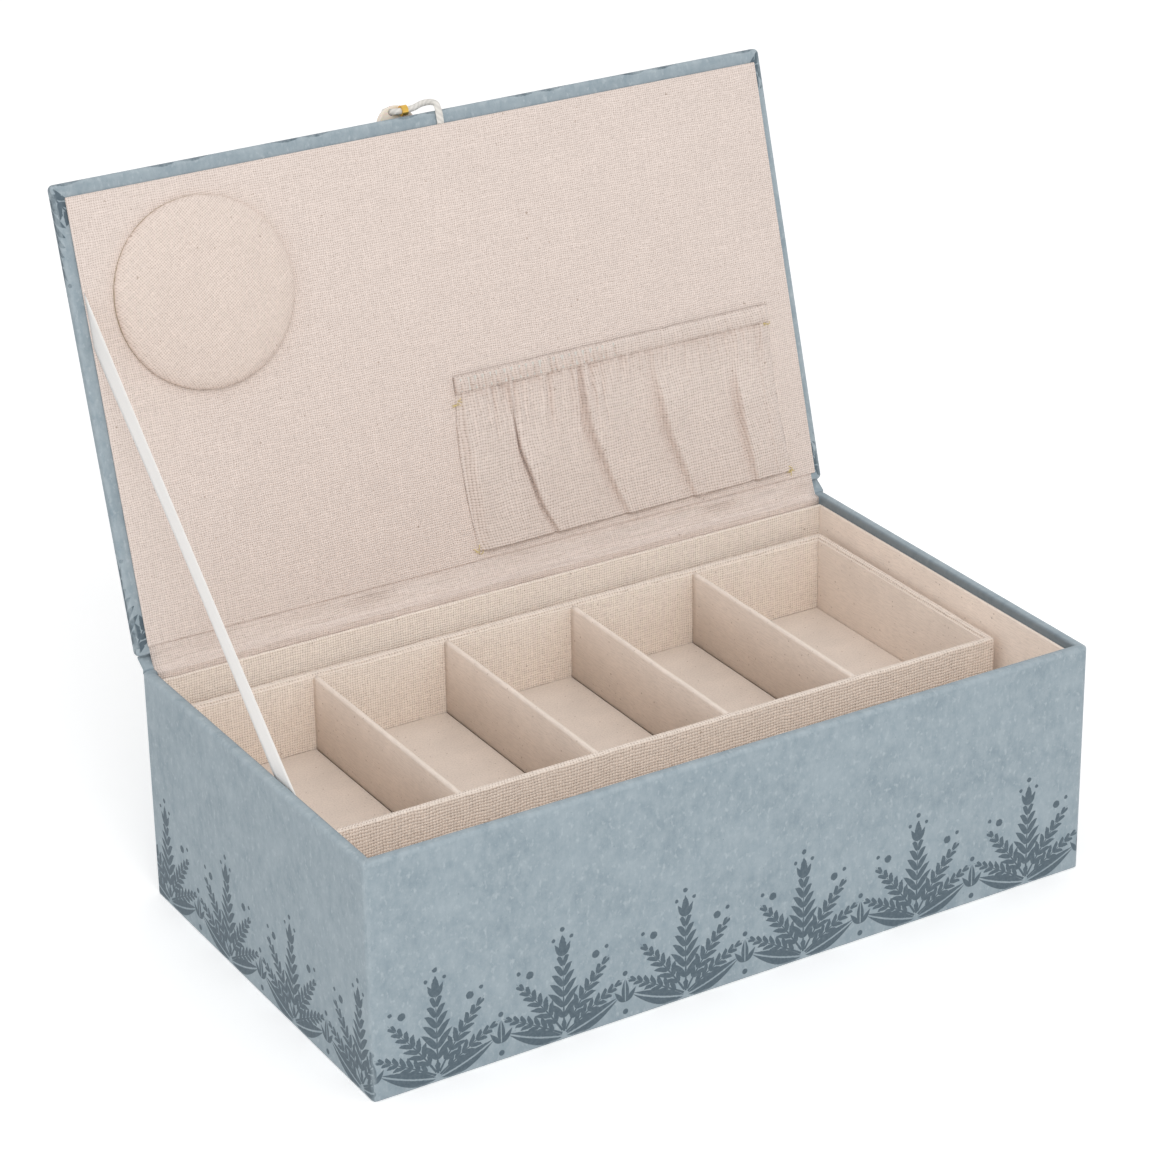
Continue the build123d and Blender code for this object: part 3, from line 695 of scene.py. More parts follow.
def applied(piece):
    """Makes the piece's modifiers part of its mesh."""
    bpy.context.view_layer.update()
    graph = bpy.context.evaluated_depsgraph_get()
    mesh = bpy.data.meshes.new_from_object(piece.evaluated_get(graph), preserve_all_data_layers=True, depsgraph=graph)
    old = piece.data
    piece.modifiers.clear()
    piece.data = mesh
    bpy.data.meshes.remove(old)
    mesh.name = piece.name
    return piece


def thicken(piece, thickness):
    """Gives a sheet its thickness, away from the side that its faces point to."""
    solid = piece.modifiers.new("Thickness", "SOLIDIFY")
    solid.thickness = thickness
    solid.offset = -1.0
    solid.use_quality_normals = True
    return applied(piece)


def dressed(piece, body, nodes):
    """Puts a finished piece on its body, in place of its nodes, which are hidden."""
    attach(piece, body)
    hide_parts(*nodes)
    return piece


def side_columns(length, radius, stations, arc_steps):
    """Along one side of a rounded rectangle: (corner angle or None, share of the straight, run)."""
    columns = []
    for step in range(arc_steps + 1):
        angle = -math.pi / 4 * (1 - step / arc_steps)
        columns.append((angle, -1.0, radius + angle * radius))
    for station in range(1, stations):
        share = -1 + 2 * station / stations
        columns.append((None, share, radius + (share + 1) / 2 * (length - 2 * radius)))
    for step in range(arc_steps + 1):
        angle = math.pi / 4 * step / arc_steps
        columns.append((angle, 1.0, length - radius + angle * radius))
    return columns


def wrap(name, material_name, low, high, radius, path, uv_of, keep=None, cap_last=False, transform=None,
         spacing=9 * MM, tight=CORNER_INSIDE):
    """Cloth wrapped round an upright rectangle: a profile of (inset, z) carried round its four sides.

    uv_of turns (side, run, distance along the profile, point) into a UV place. keep says which faces
    are made, by side, share along the side and the place in the profile."""
    mitre_wear = 2.5
    maker = bmesh.new()
    layer = maker.loops.layers.uv.new("UVMap")
    edge = maker.verts.layers.float.new("edge")
    walked = lengths_along(path)
    middle = (Vector(low) + Vector(high)) / 2
    halves = (Vector(high) - Vector(low)) / 2
    last_ring = []
    for side in range(4):
        turn = side * math.pi / 2
        half_run, half_out = (halves.x, halves.y) if side % 2 == 0 else (halves.y, halves.x)
        stations = max(4, round(2 * half_run / spacing))
        columns = side_columns(2 * half_run, radius, stations, 3)
        grid = []
        for angle, share, run in columns:
            column = []
            for (inset, z), on_round in path:
                corner = max(radius - inset, tight)
                straight = half_run - inset - corner
                out = half_out - inset - corner
                lean = angle or 0.0
                along = share * straight + corner * math.sin(lean)
                away = out + corner * math.cos(lean)
                x = middle.x + along * math.cos(turn) + away * math.sin(turn)
                y = middle.y + along * math.sin(turn) - away * math.cos(turn)
                vertex = maker.verts.new((x, y, z))
                bent = abs(lean) / (math.pi / 4)
                mitred = bent > 0.99 and inset > 0
                vertex[edge] = mitre_wear if mitred else max(bent, float(on_round))
                column.append(vertex)
            grid.append(column)
        for number, (left, right) in enumerate(zip(grid, grid[1:])):
            share = (columns[number][1] + columns[number + 1][1]) / 2
            for step in range(len(path) - 1):
                if keep is not None and not keep(side, share, step):
                    continue
                corners = ((left, number, step), (right, number + 1, step), (right, number + 1, step + 1),
                           (left, number, step + 1))
                face = maker.faces.new([column[at] for column, _, at in corners])
                for loop, (_, at_column, at) in zip(face.loops, corners):
                    loop[layer].uv = uv_of(side, columns[at_column][2], walked[at], loop.vert.co)
        last_ring += [column[-1] for column in grid[:-1]]
    if cap_last:
        face = maker.faces.new(last_ring)
        to_flat = walked[-1] - path[-1][0].x
        for loop in face.loops:
            loop[layer].uv = uv_of(0, 0.0, to_flat + loop.vert.co.y - low[1], loop.vert.co)
    for vertex in [vertex for vertex in maker.verts if not vertex.link_faces]:
        maker.verts.remove(vertex)
    return finished(maker, name, material_name, transform)


def panel(name, material_name, low, high, softness, transform=None, segments=3, turn=0.0):
    """A covered board: a box with soft edges, whose UV map runs along each face in metres."""
    low, high = Vector(low), Vector(high)
    maker = bmesh.new()
    bmesh.ops.create_cube(maker, size=1.0)
    size = high - low
    for vertex in maker.verts:
        vertex.co = Vector([low[axis] + (vertex.co[axis] + 0.5) * size[axis] for axis in range(3)])
    reach = min(softness, min(size) * 0.49)
    bmesh.ops.bevel(maker, geom=maker.edges[:], offset=reach, segments=segments, profile=0.5, affect="EDGES")
    layer = maker.loops.layers.uv.new("UVMap")
    maker.normal_update()
    for face in maker.faces:
        thickest = max(range(3), key=lambda axis: abs(face.normal[axis]))
        first, second = [(1, 2), (0, 2), (0, 1)][thickest]
        for loop in face.loops:
            place = Vector((loop.vert.co[first] - low[first], loop.vert.co[second] - low[second]))
            place.rotate(Matrix.Rotation(turn, 2))
            loop[layer].uv = place + Vector((0.37 * thickest, 0.21 * thickest))
    return finished(maker, name, material_name, transform)


def strip(name, material_name, path, x_low, x_high, thickness, columns=60, wobble=None, transform=None):
    """Cloth along a path of ((y, z), flag) pairs, drawn out along X."""
    maker = bmesh.new()
    layer = maker.loops.layers.uv.new("UVMap")
    walked = lengths_along(path)
    grid = []
    for column in range(columns + 1):
        x = x_low + (x_high - x_low) * column / columns
        row = []
        for number, ((y, z), _) in enumerate(path):
            place = Vector((x, y, z))
            if wobble is not None:
                place += wobble(x, number / (len(path) - 1))
            row.append(maker.verts.new(place))
        grid.append(row)
    for column, (left, right) in enumerate(zip(grid, grid[1:])):
        for step in range(len(path) - 1):
            face = maker.faces.new((left[step], right[step], right[step + 1], left[step + 1]))
            for loop, (number, at) in zip(face.loops, ((column, step), (column + 1, step), (column + 1, step + 1),
                                                       (column, step + 1))):
                loop[layer].uv = ((x_high - x_low) * number / columns, walked[at])
    piece = finished(maker, name, material_name, transform)
    return thicken(piece, thickness)


def shut_point(y, z):
    """Where the point (y, z) of the shut lid is when the lid stands open, as (y, z)."""
    moved = LID_OPENS @ Vector((0, y, z))
    return Vector((moved.y, moved.z))


def stitch_tree():
    """Geometry nodes that turn each edge of a mesh into one arched stitch of thread."""
    tree = bpy.data.node_groups.new("Thread stitches", "GeometryNodeTree")
    for label, kind, value in (
        ("Geometry", "NodeSocketGeometry", None), ("Thread radius", "NodeSocketFloat", 0.2 * MM),
        ("Lift", "NodeSocketVector", (0, 0, 0.3 * MM)), ("Thread", "NodeSocketMaterial", None),
    ):
        socket = tree.interface.new_socket(name=label, in_out="INPUT", socket_type=kind)
        if value is not None:
            socket.default_value = value
    tree.interface.new_socket(name="Geometry", in_out="OUTPUT", socket_type="NodeSocketGeometry")
    nodes, links = tree.nodes, tree.links
    source = nodes.new("NodeGroupInput")
    sink = nodes.new("NodeGroupOutput")
    to_curve = nodes.new("GeometryNodeMeshToCurve")
    divide = nodes.new("GeometryNodeResampleCurve")
    divide.inputs["Count"].default_value = 7
    along = nodes.new("GeometryNodeSplineParameter")
    half_turn = nodes.new("ShaderNodeMath")
    half_turn.operation = "MULTIPLY"
    half_turn.inputs[1].default_value = math.pi
    arch = nodes.new("ShaderNodeMath")
    arch.operation = "SINE"
    offset = nodes.new("ShaderNodeVectorMath")
    offset.operation = "SCALE"
    raised = nodes.new("GeometryNodeSetPosition")
    section = nodes.new("GeometryNodeCurvePrimitiveCircle")
    section.inputs["Resolution"].default_value = 8
    tube = nodes.new("GeometryNodeCurveToMesh")
    tube.inputs["Fill Caps"].default_value = True
    smooth = nodes.new("GeometryNodeSetShadeSmooth")
    realize = nodes.new("GeometryNodeRealizeInstances")
    paint = nodes.new("GeometryNodeSetMaterial")
    links.new(source.outputs["Geometry"], to_curve.inputs["Mesh"])
    links.new(to_curve.outputs[0], divide.inputs["Curve"])
    links.new(along.outputs["Factor"], half_turn.inputs[0])
    links.new(half_turn.outputs[0], arch.inputs[0])
    links.new(source.outputs["Lift"], offset.inputs[0])
    links.new(arch.outputs[0], offset.inputs["Scale"])
    links.new(divide.outputs[0], raised.inputs["Geometry"])
    links.new(offset.outputs[0], raised.inputs["Offset"])
    links.new(source.outputs["Thread radius"], section.inputs["Radius"])
    links.new(raised.outputs[0], tube.inputs["Curve"])
    links.new(section.outputs[0], tube.inputs["Profile Curve"])
    links.new(tube.outputs[0], smooth.inputs["Geometry"])
    links.new(smooth.outputs[0], realize.inputs[0])
    links.new(realize.outputs[0], paint.inputs["Geometry"])
    links.new(source.outputs["Thread"], paint.inputs["Material"])
    links.new(paint.outputs[0], sink.inputs[0])
    return tree


def stitches(name, ends, thread_radius, lift, material_name):
    """Stitches of thread between pairs of points, each arched by the lift."""
    mesh = bpy.data.meshes.new(name)
    points = [point for pair in ends for point in pair]
    mesh.from_pydata(points, [(2 * number, 2 * number + 1) for number in range(len(ends))], [])
    piece = bpy.data.objects.new(name, mesh)
    bpy.context.scene.collection.objects.link(piece)
    modifier = piece.modifiers.new("Stitches", "NODES")
    tree = bpy.data.node_groups.get("Thread stitches") or stitch_tree()
    modifier.node_group = tree
    inputs = {item.name: item.identifier for item in tree.interface.items_tree if item.in_out == "INPUT"}
    modifier[inputs["Thread radius"]] = thread_radius
    modifier[inputs["Lift"]] = lift
    modifier[inputs["Thread"]] = material(material_name)
    return applied(piece)


# Pieces


class SEWINGBOX_OT_finishes(bpy.types.Operator):
    """Makes the node groups and the materials"""

    bl_idname = "sewing_box.finishes"
    bl_label = "Finishes"

    def execute(self, context):
        shades, sizes = colours(), cloth()
        build_weave_group()
        build_mottle_group()
        build_leaf_group()
        build_sprig_group()
        build_border_group()
        cover_material("cover_print", True, phase=sizes.print_pitch / 2)
        cover_material("lid_print", True, phase=0.0, depth=LID_HIGH.y - LID_LOW.y + 2 * PRINT_OVER_EDGE)
        cover_material("cover_plain", False)
        linen_material("lid_linen", shades.linen, sizes.lid_pitch, gap_share=0.85, loose=0.28)
        linen_material("hinge_linen", shades.linen, sizes.lid_pitch, gap_share=0.8, crease_shade=0.11)
        linen_material("tray_linen", shades.tray_linen, sizes.tray_pitch * 1.08, gap_share=1.0, loose=0.25)
        linen_material("wall_linen", [c * 1.06 for c in shades.tray_linen], sizes.tray_pitch * 0.9, gap_share=0.85, loose=0.2)
        linen_material("pocket_linen", [c * 0.95 for c in shades.linen], sizes.pocket_pitch, gap_share=1.0, loose=0.22)
        linen_material("pad_linen", [shades.linen[0], shades.linen[1] * 0.985, shades.linen[2] * 0.97],
                       sizes.cushion_pitch, gap_share=0.75, loose=0.3)
        cotton_material("wall_cotton", shades.cotton, 0.75)
        cotton_material("box_cotton", [c * 1.12 for c in shades.cotton], 0.75)
        cotton_material("floor_cotton", [c * 0.945 for c in shades.cotton], 0.2)
        satin_material()
        cord_material("cord_yarn", shades.cord, 2.4 * MM)
        cord_material("tack_yarn", shades.tack, 0.9 * MM)
        cord_material("seam_yarn", [c * 1.02 for c in shades.linen], 0.9 * MM)
        brass_material()
        shell_material()
        board_material("plain_board", shades.board)
        board_material("plain_card", (0.5, 0.41, 0.3))
        elastic_material()
        return {"FINISHED"}


class SEWINGBOX_OT_box_shell(bpy.types.Operator):
    """Makes the printed cover round the walls and the sheet under the base"""

    bl_idname = "sewing_box.box_shell"
    bl_label = "Box shell"

    def execute(self, context):
        sizes = cloth()
        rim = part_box("hinge_linen")[0].y
        wall = BOX_HIGH.y - rim
        turned_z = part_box("hinge_linen")[0].z
        foot = 0.55 * MM
        path = rounded(
            [(foot, BOX_LOW.z * 0.2), (0, BOX_LOW.z * 0.2), (0, BOX_HIGH.z), (wall, BOX_HIGH.z), (wall, turned_z)],
            [foot * 0.9, sizes.rim_softness, sizes.rim_softness * 0.8], margin=0.7 * MM,
        )
        rim_start = next(number for number, (point, _) in enumerate(path) if point.x > sizes.rim_softness * 0.9
                         and point.y > BOX_HIGH.z * 0.5)
        left_shift = 13 * MM
        shifts = (0.0, 0.0, 0.0, left_shift)

        def uv_of(side, run, walked, point):
            return (side + run + shifts[side], walked)

        def keep(side, share, step):
            return side != 2 or abs(share) > 0.985 or step < rim_start

        shell = wrap("box_cover_cloth", "cover_print", BOX_LOW, BOX_HIGH, BOX_CORNER, path, uv_of, keep)
        self.meet_linen(shell, wall)
        self.mark_painted_shade_inside(shell, wall)
        for vertex in shell.data.vertices:
            wave = noise.noise(vertex.co * 60) * 0.05 * MM + noise.noise(vertex.co * 400) * 0.03 * MM
            vertex.co.z -= abs(wave) if vertex.co.z > BOX_HIGH.z - 2 * MM else 0.0
        thicken(shell, sizes.cover_thickness * 0.9)
        for vertex in shell.data.vertices:
            vertex.co.z = max(vertex.co.z, BOX_LOW.z * 0.2)
        dressed(shell, "box", ["box_cover"])
        low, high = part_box("base_cover")
        inset = Vector((foot, foot, 0))
        base = panel("base_cover_sheet", "cover_plain", low + inset, high - inset, 0.15 * MM)
        dressed(base, "box", ["base_cover"])
        for node in ("base_board", "front_wall", "back_wall", "left_wall", "right_wall", "lid_board",
                     "tray_base", "tray_front_wall", "tray_back_wall", "tray_left_wall", "tray_right_wall"):
            paint(node, "plain_board")
        return {"FINISHED"}

    def meet_linen(self, shell, wall):
        """Draws the cover's ends on the back rim up to the ends of the hinge linen."""
        linen_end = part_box("hinge_linen")[1].x
        for vertex in shell.data.vertices:
            inset = BOX_HIGH.y - vertex.co.y
            if not cloth().rim_softness * 0.9 < inset < 2 * wall:
                continue
            straight_end = BOX_HIGH.x - inset - max(BOX_CORNER - inset, CORNER_INSIDE)
            if abs(abs(vertex.co.x) - straight_end) < 0.01 * MM:
                vertex.co.x = math.copysign(linen_end, vertex.co.x)

    def mark_painted_shade_inside(self, shell, wall):
        """Marks the cover that is turned down inside the walls, where painted shade darkens its colour."""
        # The inside attribute carries painted shade for the turned-in cover, not a colour of the cloth.
        marks = shell.data.attributes.new("inside", "FLOAT", "POINT")
        for vertex, mark in zip(shell.data.vertices, marks.data):
            inset = min(BOX_HIGH.x - abs(vertex.co.x), BOX_HIGH.y - abs(vertex.co.y))
            above_foot = vertex.co.z > BOX_HIGH.z / 2
            mark.value = eased((inset / wall - 0.62) / 0.36) if above_foot else 0.0


def paint(node, material_name):
    """Gives a CAD node that stays its own material."""
    piece = frame["nodes"][node]
    for slot in piece.material_slots:
        slot.material = material(material_name)
    if not piece.material_slots:
        piece.data.materials.append(material(material_name))


class SEWINGBOX_OT_box_linings(bpy.types.Operator):
    """Makes the lining panels of the box and the ledges that carry the tray"""

    bl_idname = "sewing_box.box_linings"
    bl_label = "Box linings"

    def execute(self, context):
        finishes = {
            "front_lining": "box_cotton", "back_lining": "wall_linen", "left_lining": "box_cotton",
            "right_lining": "box_cotton", "floor_lining": "floor_cotton", "left_ledge": "box_cotton",
            "right_ledge": "box_cotton",
        }
        for node, finish in finishes.items():
            low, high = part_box(node)
            piece = panel(node + "_panel", finish, low, high, cloth().panel_softness)
            dressed(piece, "box", [node])
        return {"FINISHED"}


class SEWINGBOX_OT_hinge(bpy.types.Operator):
    """Makes the linen inside the hinge and the cover cloth outside it"""

    bl_idname = "sewing_box.hinge"
    bl_label = "Cloth hinge"

    def execute(self, context):
        low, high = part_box("hinge_linen")
        half = 0.25 * MM
        inner_y = low.y + half
        rim_z = BOX_HIGH.z - half
        lid_z = LID_LOW.z - half
        gutter = BOX_HIGH.y - 1.2 * MM
        lid_end = LID_HIGH.y - 1.2 * MM
        line = rounded(
            [(inner_y, low.z), (inner_y, rim_z), (gutter, rim_z), shut_point(lid_end, lid_z),
             shut_point(LINING_HIGH.y - 1.2 * MM, lid_z)],
            [0.7 * MM, 1.6 * MM, 1.3 * MM],
        )

        def ripple(x, share):
            depth = 0.16 * MM * math.sin(math.pi * share)
            return Vector((0, -1, 0.4)) * depth * noise.noise(Vector((x * 45, share * 9, 0)))

        linen = strip("hinge_linen_strip", "hinge_linen", line, low.x, high.x, 2 * half, wobble=ripple)
        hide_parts("hinge_linen")
        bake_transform(linen)
        low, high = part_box("hinge_cover")
        outer_y = BOX_HIGH.y - half
        line = rounded(
            [(outer_y, BOX_HIGH.z - 1.2 * MM), (outer_y, BOX_HIGH.z + 0.4 * MM),
             shut_point(LID_HIGH.y + 0.7 * MM, LID_HIGH.z - 1.0 * MM), shut_point(LID_HIGH.y, LID_HIGH.z - 1.4 * MM)],
            [0.5 * MM, 0.6 * MM],
        )
        crinkle_reach = 9 * MM

        def crinkle(x, share):
            near_end = max(0.0, 1 - min(x - BOX_LOW.x, BOX_HIGH.x - x) / crinkle_reach)
            depth = 0.5 * MM * near_end * math.sin(math.pi * share)
            return Vector((0, -1, 0.3)) * depth * (0.6 + noise.noise(Vector((x * 700, share * 5, 0))))

        outside = strip("hinge_cover_cloth", "cover_plain", line[::-1], BOX_LOW.x + 0.4 * MM, BOX_HIGH.x - 0.4 * MM,
                        2 * half, columns=220, wobble=crinkle)
        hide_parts("hinge_cover")
        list(shut_point(LID_HIGH.y, LID_HIGH.z))
        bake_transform(outside)
        return {"FINISHED"}


class SEWINGBOX_OT_ribbon(bpy.types.Operator):
    """Makes the satin ribbon that stops the lid"""

    bl_idname = "sewing_box.ribbon"
    bl_label = "Ribbon stay"

    def execute(self, context):
        low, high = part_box("ribbon_stay")
        points = sorted((vertex.co.z, vertex.co.y) for vertex in frame["nodes"]["ribbon_stay"].data.vertices)
        foot_z = low.z
        foot_y = sum(y for z, y in points if z < foot_z + 0.01 * MM) / sum(z < foot_z + 0.01 * MM for z, y in points)
        width = 10.4 * MM
        head = max(frame["nodes"]["ribbon_stay"].data.vertices, key=lambda vertex: vertex.co.z).co
        lining_way = Vector((0, *(shut_point(0, LINING_LOW.z) - shut_point(10 * MM, LINING_LOW.z)))).normalized()
        foot = Vector((0, foot_y, foot_z))
        rough_head = Vector((0, head.y, head.z))
        slope = (rough_head - foot).normalized()
        half_cut = width / 2 / math.sin(slope.angle(lining_way))
        top = rough_head - lining_way * half_cut
        along = (top - foot).normalized()
        x_foot = (low.x + high.x) / 2
        rows, columns = 60, 6
        maker = bmesh.new()
        layer = maker.loops.layers.uv.new("UVMap")
        length = (top - foot).length
        grid = []
        for row in range(rows + 1):
            share = row / rows
            line = []
            for column in range(columns + 1):
                side = column / columns - 0.5
                foot_at = Vector((0, foot.y + side * width / along.z, foot.z))
                head_at = top - lining_way * (side * 2 * half_cut)
                place = foot_at.lerp(head_at, share)
                narrow = 1 - 0.06 * math.sin(math.pi * share)
                middle = foot.lerp(top, share)
                place = middle + (place - middle) * narrow
                curl = 0.35 * MM * math.cos(side * math.pi) * math.sin(math.pi * share)
                twist = side * 2.2 * MM * math.sin(math.pi * min(1.0, share * 1.1)) * 0.5
                place.x = x_foot + curl + max(-0.1 * MM, twist)
                line.append(maker.verts.new(place))
            grid.append(line)
        for row, (under, over) in enumerate(zip(grid, grid[1:])):
            for column in range(columns):
                face = maker.faces.new((under[column], over[column], over[column + 1], under[column + 1]))
                for loop, (across_at, along_at) in zip(
                    face.loops, ((column, row), (column, row + 1), (column + 1, row + 1), (column + 1, row))
                ):
                    loop[layer].uv = (width * across_at / columns, length * along_at / rows)
        ribbon = thicken(finished(maker, "ribbon_stay_satin", "satin_weave"), 0.3 * MM)
        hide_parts("ribbon_stay")
        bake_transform(ribbon)
        return {"FINISHED"}


class SEWINGBOX_OT_lid(bpy.types.Operator):
    """Makes the lid's printed cover and its linen lining"""

    bl_idname = "sewing_box.lid"
    bl_label = "Lid"

    def execute(self, context):
        sizes = cloth()
        turned = 14 * MM
        flat_from = 24 * MM
        path = rounded(
            [(turned, LID_LOW.z), (0, LID_LOW.z), (0, LID_HIGH.z), (flat_from, LID_HIGH.z)],
            [sizes.rim_softness * 0.9, sizes.rim_softness], margin=0.7 * MM,
        )
        walked = lengths_along(path)
        top_edge = walked[-1] - flat_from
        size = LID_HIGH - LID_LOW
        over = Vector((0, PRINT_OVER_EDGE))

        def uv_of(side, run, distance, point):
            out = distance - top_edge
            x, y, _ = point - LID_LOW
            return Vector(((x, out), (size.x - out, y), (x, size.y - out), (out, y))[side]) + over

        shell = wrap("lid_cover_cloth", "lid_print", LID_LOW, LID_HIGH, 2.0 * MM, path, uv_of, cap_last=True,
                     transform=LID_OPENS)
        thicken(shell, sizes.cover_thickness * 0.9)
        dressed(shell, "lid", ["lid_cover"])
        lining = panel("lid_lining_panel", "lid_linen", LINING_LOW, LINING_HIGH, sizes.panel_softness,
                       transform=LID_OPENS)
        dressed(lining, "lid", ["lid_lining"])
        return {"FINISHED"}


class SEWINGBOX_OT_pincushion(bpy.types.Operator):
    """Makes the padded pincushion on its card"""

    bl_idname = "sewing_box.pincushion"
    bl_label = "Pincushion"

    def execute(self, context):
        low, high = closed_box("pincushion")
        radius = (high.x - low.x) / 2
        back = LINING_LOW.z - 0.05 * MM
        centre = Vector(((low.x + high.x) / 2, (low.y + high.y) / 2, back))
        crown = back - low.z
        swell = 0.6 * MM
        shrunk = radius - swell
        buried = -1.6 * MM
        profile = [
            (0.0, buried), (shrunk * 0.5, buried), (shrunk * 0.99, buried), (shrunk, 0.0), (shrunk, 1.6 * MM), (shrunk * 0.985, 2.6 * MM), (shrunk * 0.955, 3.5 * MM), (shrunk * 0.9, 4.4 * MM),
            (shrunk * 0.8, crown * 0.7), (shrunk * 0.6, crown * 0.82), (shrunk * 0.3, crown * 0.9),
            (0.0, crown * 0.92),
        ]
        around = 144
        maker = bmesh.new()
        rings = []
        for out, drop in profile:
            count = 1 if out == 0.0 else around
            ring = [maker.verts.new((
                centre.x + out * math.cos(2 * math.pi * step / around),
                centre.y + out * math.sin(2 * math.pi * step / around),
                centre.z - drop,
            )) for step in range(count)]
            rings.append(ring)
        for inner, outer in zip(rings, rings[1:]):
            for step in range(around):
                after = (step + 1) % around
                corners = [inner[step % len(inner)], outer[step % len(outer)], outer[after % len(outer)],
                           inner[after % len(inner)]]
                unique = list(dict.fromkeys(corners))
                maker.faces.new(unique)
        bmesh.ops.recalc_face_normals(maker, faces=maker.faces)
        pad = finished(maker, "pincushion_pad", "pad_linen")
        swell_pad(pad, most=0.55 * MM)
        cut_flat(pad, centre.z)
        pucker_rim(pad, centre, radius)
        lay_flat_uv(pad, math.radians(33))
        pad.data.transform(LID_OPENS)
        dressed(pad, "lid", ["pincushion"])
        paint("cushion_card", "plain_card")
        return {"FINISHED"}


def swell_pad(pad, most, voxel=1.3 * MM):
    """Inflates a closed pad as cloth, with each point kept within reach of where it began."""
    remesh = pad.modifiers.new("Voxels", "REMESH")
    remesh.mode = "VOXEL"
    remesh.voxel_size = voxel
    remesh.use_smooth_shade = True
    applied(pad)
    start = [vertex.co.copy() for vertex in pad.data.vertices]
    puff = pad.modifiers.new("Cloth", "CLOTH")
    puff.settings.use_pressure = True
    puff.settings.uniform_pressure_force = 4.0
    puff.settings.effector_weights.gravity = 0.0
    for step in range(1, 21):
        bpy.context.scene.frame_set(step)
    applied(pad)
    bpy.context.scene.frame_set(1)
    for vertex, began in zip(pad.data.vertices, start):
        moved = vertex.co - began
        vertex.co = began + moved * min(1.0, most / max(moved.length, 1e-9))
    pad.data.materials.clear()
    pad.data.materials.append(material("pad_linen"))
    finer = pad.modifiers.new("Finer", "SUBSURF")
    finer.levels = finer.render_levels = 1
    applied(pad)
    pad.data.polygons.foreach_set("use_smooth", [True] * len(pad.data.polygons))


def cut_flat(pad, top):
    """Ends the pad in one flat face at the lid's lining, which its sides meet squarely."""
    maker = bmesh.new()
    maker.from_mesh(pad.data)
    cut = bmesh.ops.bisect_plane(maker, geom=maker.verts[:] + maker.edges[:] + maker.faces[:], dist=0.02 * MM,
                                 plane_co=(0, 0, top), plane_no=(0, 0, 1), clear_outer=True)
    rim = [part for part in cut["geom_cut"] if isinstance(part, bmesh.types.BMEdge)]
    bmesh.ops.edgeloop_fill(maker, edges=rim)
    bmesh.ops.recalc_face_normals(maker, faces=maker.faces)
    maker.to_mesh(pad.data)
    maker.free()


def pucker_rim(pad, centre, radius):
    """Small puckers where the cloth is drawn round the card."""
    puckers = 46
    for vertex in pad.data.vertices:
        away = Vector((vertex.co.x - centre.x, vertex.co.y - centre.y, 0))
        nearness = max(0.0, min(1.0, (away.length / radius - 0.9) / 0.1))
        angle = math.atan2(away.y, away.x)
        fold = math.sin(puckers * angle + 3 * noise.noise(Vector((angle * 2, 0, 0))))
        depth = 0.035 * MM * nearness * fold
        vertex.co -= away.normalized() * depth if away.length > 0 else Vector()


def lay_flat_uv(piece, turn):
    """A UV map in metres, straight down onto the lid, turned by an angle."""
    layer = piece.data.uv_layers.new(name="UVMap")
    flat_turn = Matrix.Rotation(turn, 2)
    for loop in piece.data.loops:
        place = piece.data.vertices[loop.vertex_index].co
        layer.data[loop.index].uv = flat_turn @ Vector((place.x, place.y))


FOOT_FOLDS = (0.235, 0.455, 0.668, 0.872)
MOUTH_FOLDS = (0.155, 0.375, 0.60, 0.86)
CLOTH_SPAN = 140.0


def eased(value):
    """0 to 1 with a soft start and a soft end."""
    value = max(0.0, min(1.0, value))
    return value * value * (3 - 2 * value)


def fold_share(number, rise):
    """Where a fold lies across the pocket, at a height from 0 at the foot to 1 at the mouth."""
    ease = 1 - (1 - rise) ** 1.6
    wander = 0.009 * noise.noise(Vector((number * 3.7, rise * 3.4, 6.0))) * math.sin(math.pi * rise)
    return FOOT_FOLDS[number] + (MOUTH_FOLDS[number] - FOOT_FOLDS[number]) * ease + wander


def pocket_drop(share, rise):
    """How far the cloth stands off the lining, and how far its folds lean, in millimetres."""
    held = [0.0] + [fold_share(number, rise) for number in range(len(FOOT_FOLDS))] + [1.0]
    last = len(held) - 2
    index = min(max(number for number, value in enumerate(held) if share >= value - 1e-9), last)
    inside = (share - held[index]) / (held[index + 1] - held[index])
    gone = inside * (held[index + 1] - held[index]) * CLOTH_SPAN
    belly = math.sin(math.pi * min(1.0, rise * 0.86 + 0.1)) ** 0.8
    valley = 0.5 + 0.35 * belly
    crest = 0.7 + (3.1 + 1.2 * noise.noise(Vector((index * 2.3, rise * 2.6, 8.0)))) * belly
    fold_top = (1.4, 1.4, 1.3, 0.95, 0.8)[index]
    crest *= 0.35 + 0.65 * eased((fold_top - rise) / 0.3)
    climb_width = (5.0, 1.7, 2.4, 2.8, 2.2)[index]
    climb = eased(gone / climb_width)
    slope_down = max(0.0, gone - climb_width) / (CLOTH_SPAN * (held[index + 1] - held[index]) - climb_width)
    fall = 1 - (0.7 if index else 0.3) * slope_down ** 0.6 - 0.15 * slope_down ** 3
    dip = eased((inside - 0.93) / 0.07) * (0.0 if index == last else 1.0)
    level = valley + crest * climb * fall * (1 - 0.8 * dip)
    side = min(share, 1 - share) * CLOTH_SPAN
    level = 0.45 + (level - 0.45) * eased(side / 1.8)
    lean = (0.0, 0.75, 0.5, 0.5, 0.4)[index] * max(0.0, level - 1.0) * math.exp(-gone / 3.5)
    x = share * CLOTH_SPAN
    crowd = 1.0 if share < 0.45 else 0.6
    near_mouth = eased((rise - 1 + 0.62 * crowd) / (0.62 * crowd))
    drawn = noise.noise(Vector((x * 0.42, rise * 1.3, 7.0))) + 0.6 * noise.noise(Vector((x * 0.85, rise * 2.0, 2.0)))
    slack = 0.5 * noise.noise(Vector((x * 0.09, rise * 2.4, 4.0)))
    level += drawn * 2.3 * near_mouth ** 1.3 * crowd + slack * belly
    return max(0.45, level), lean


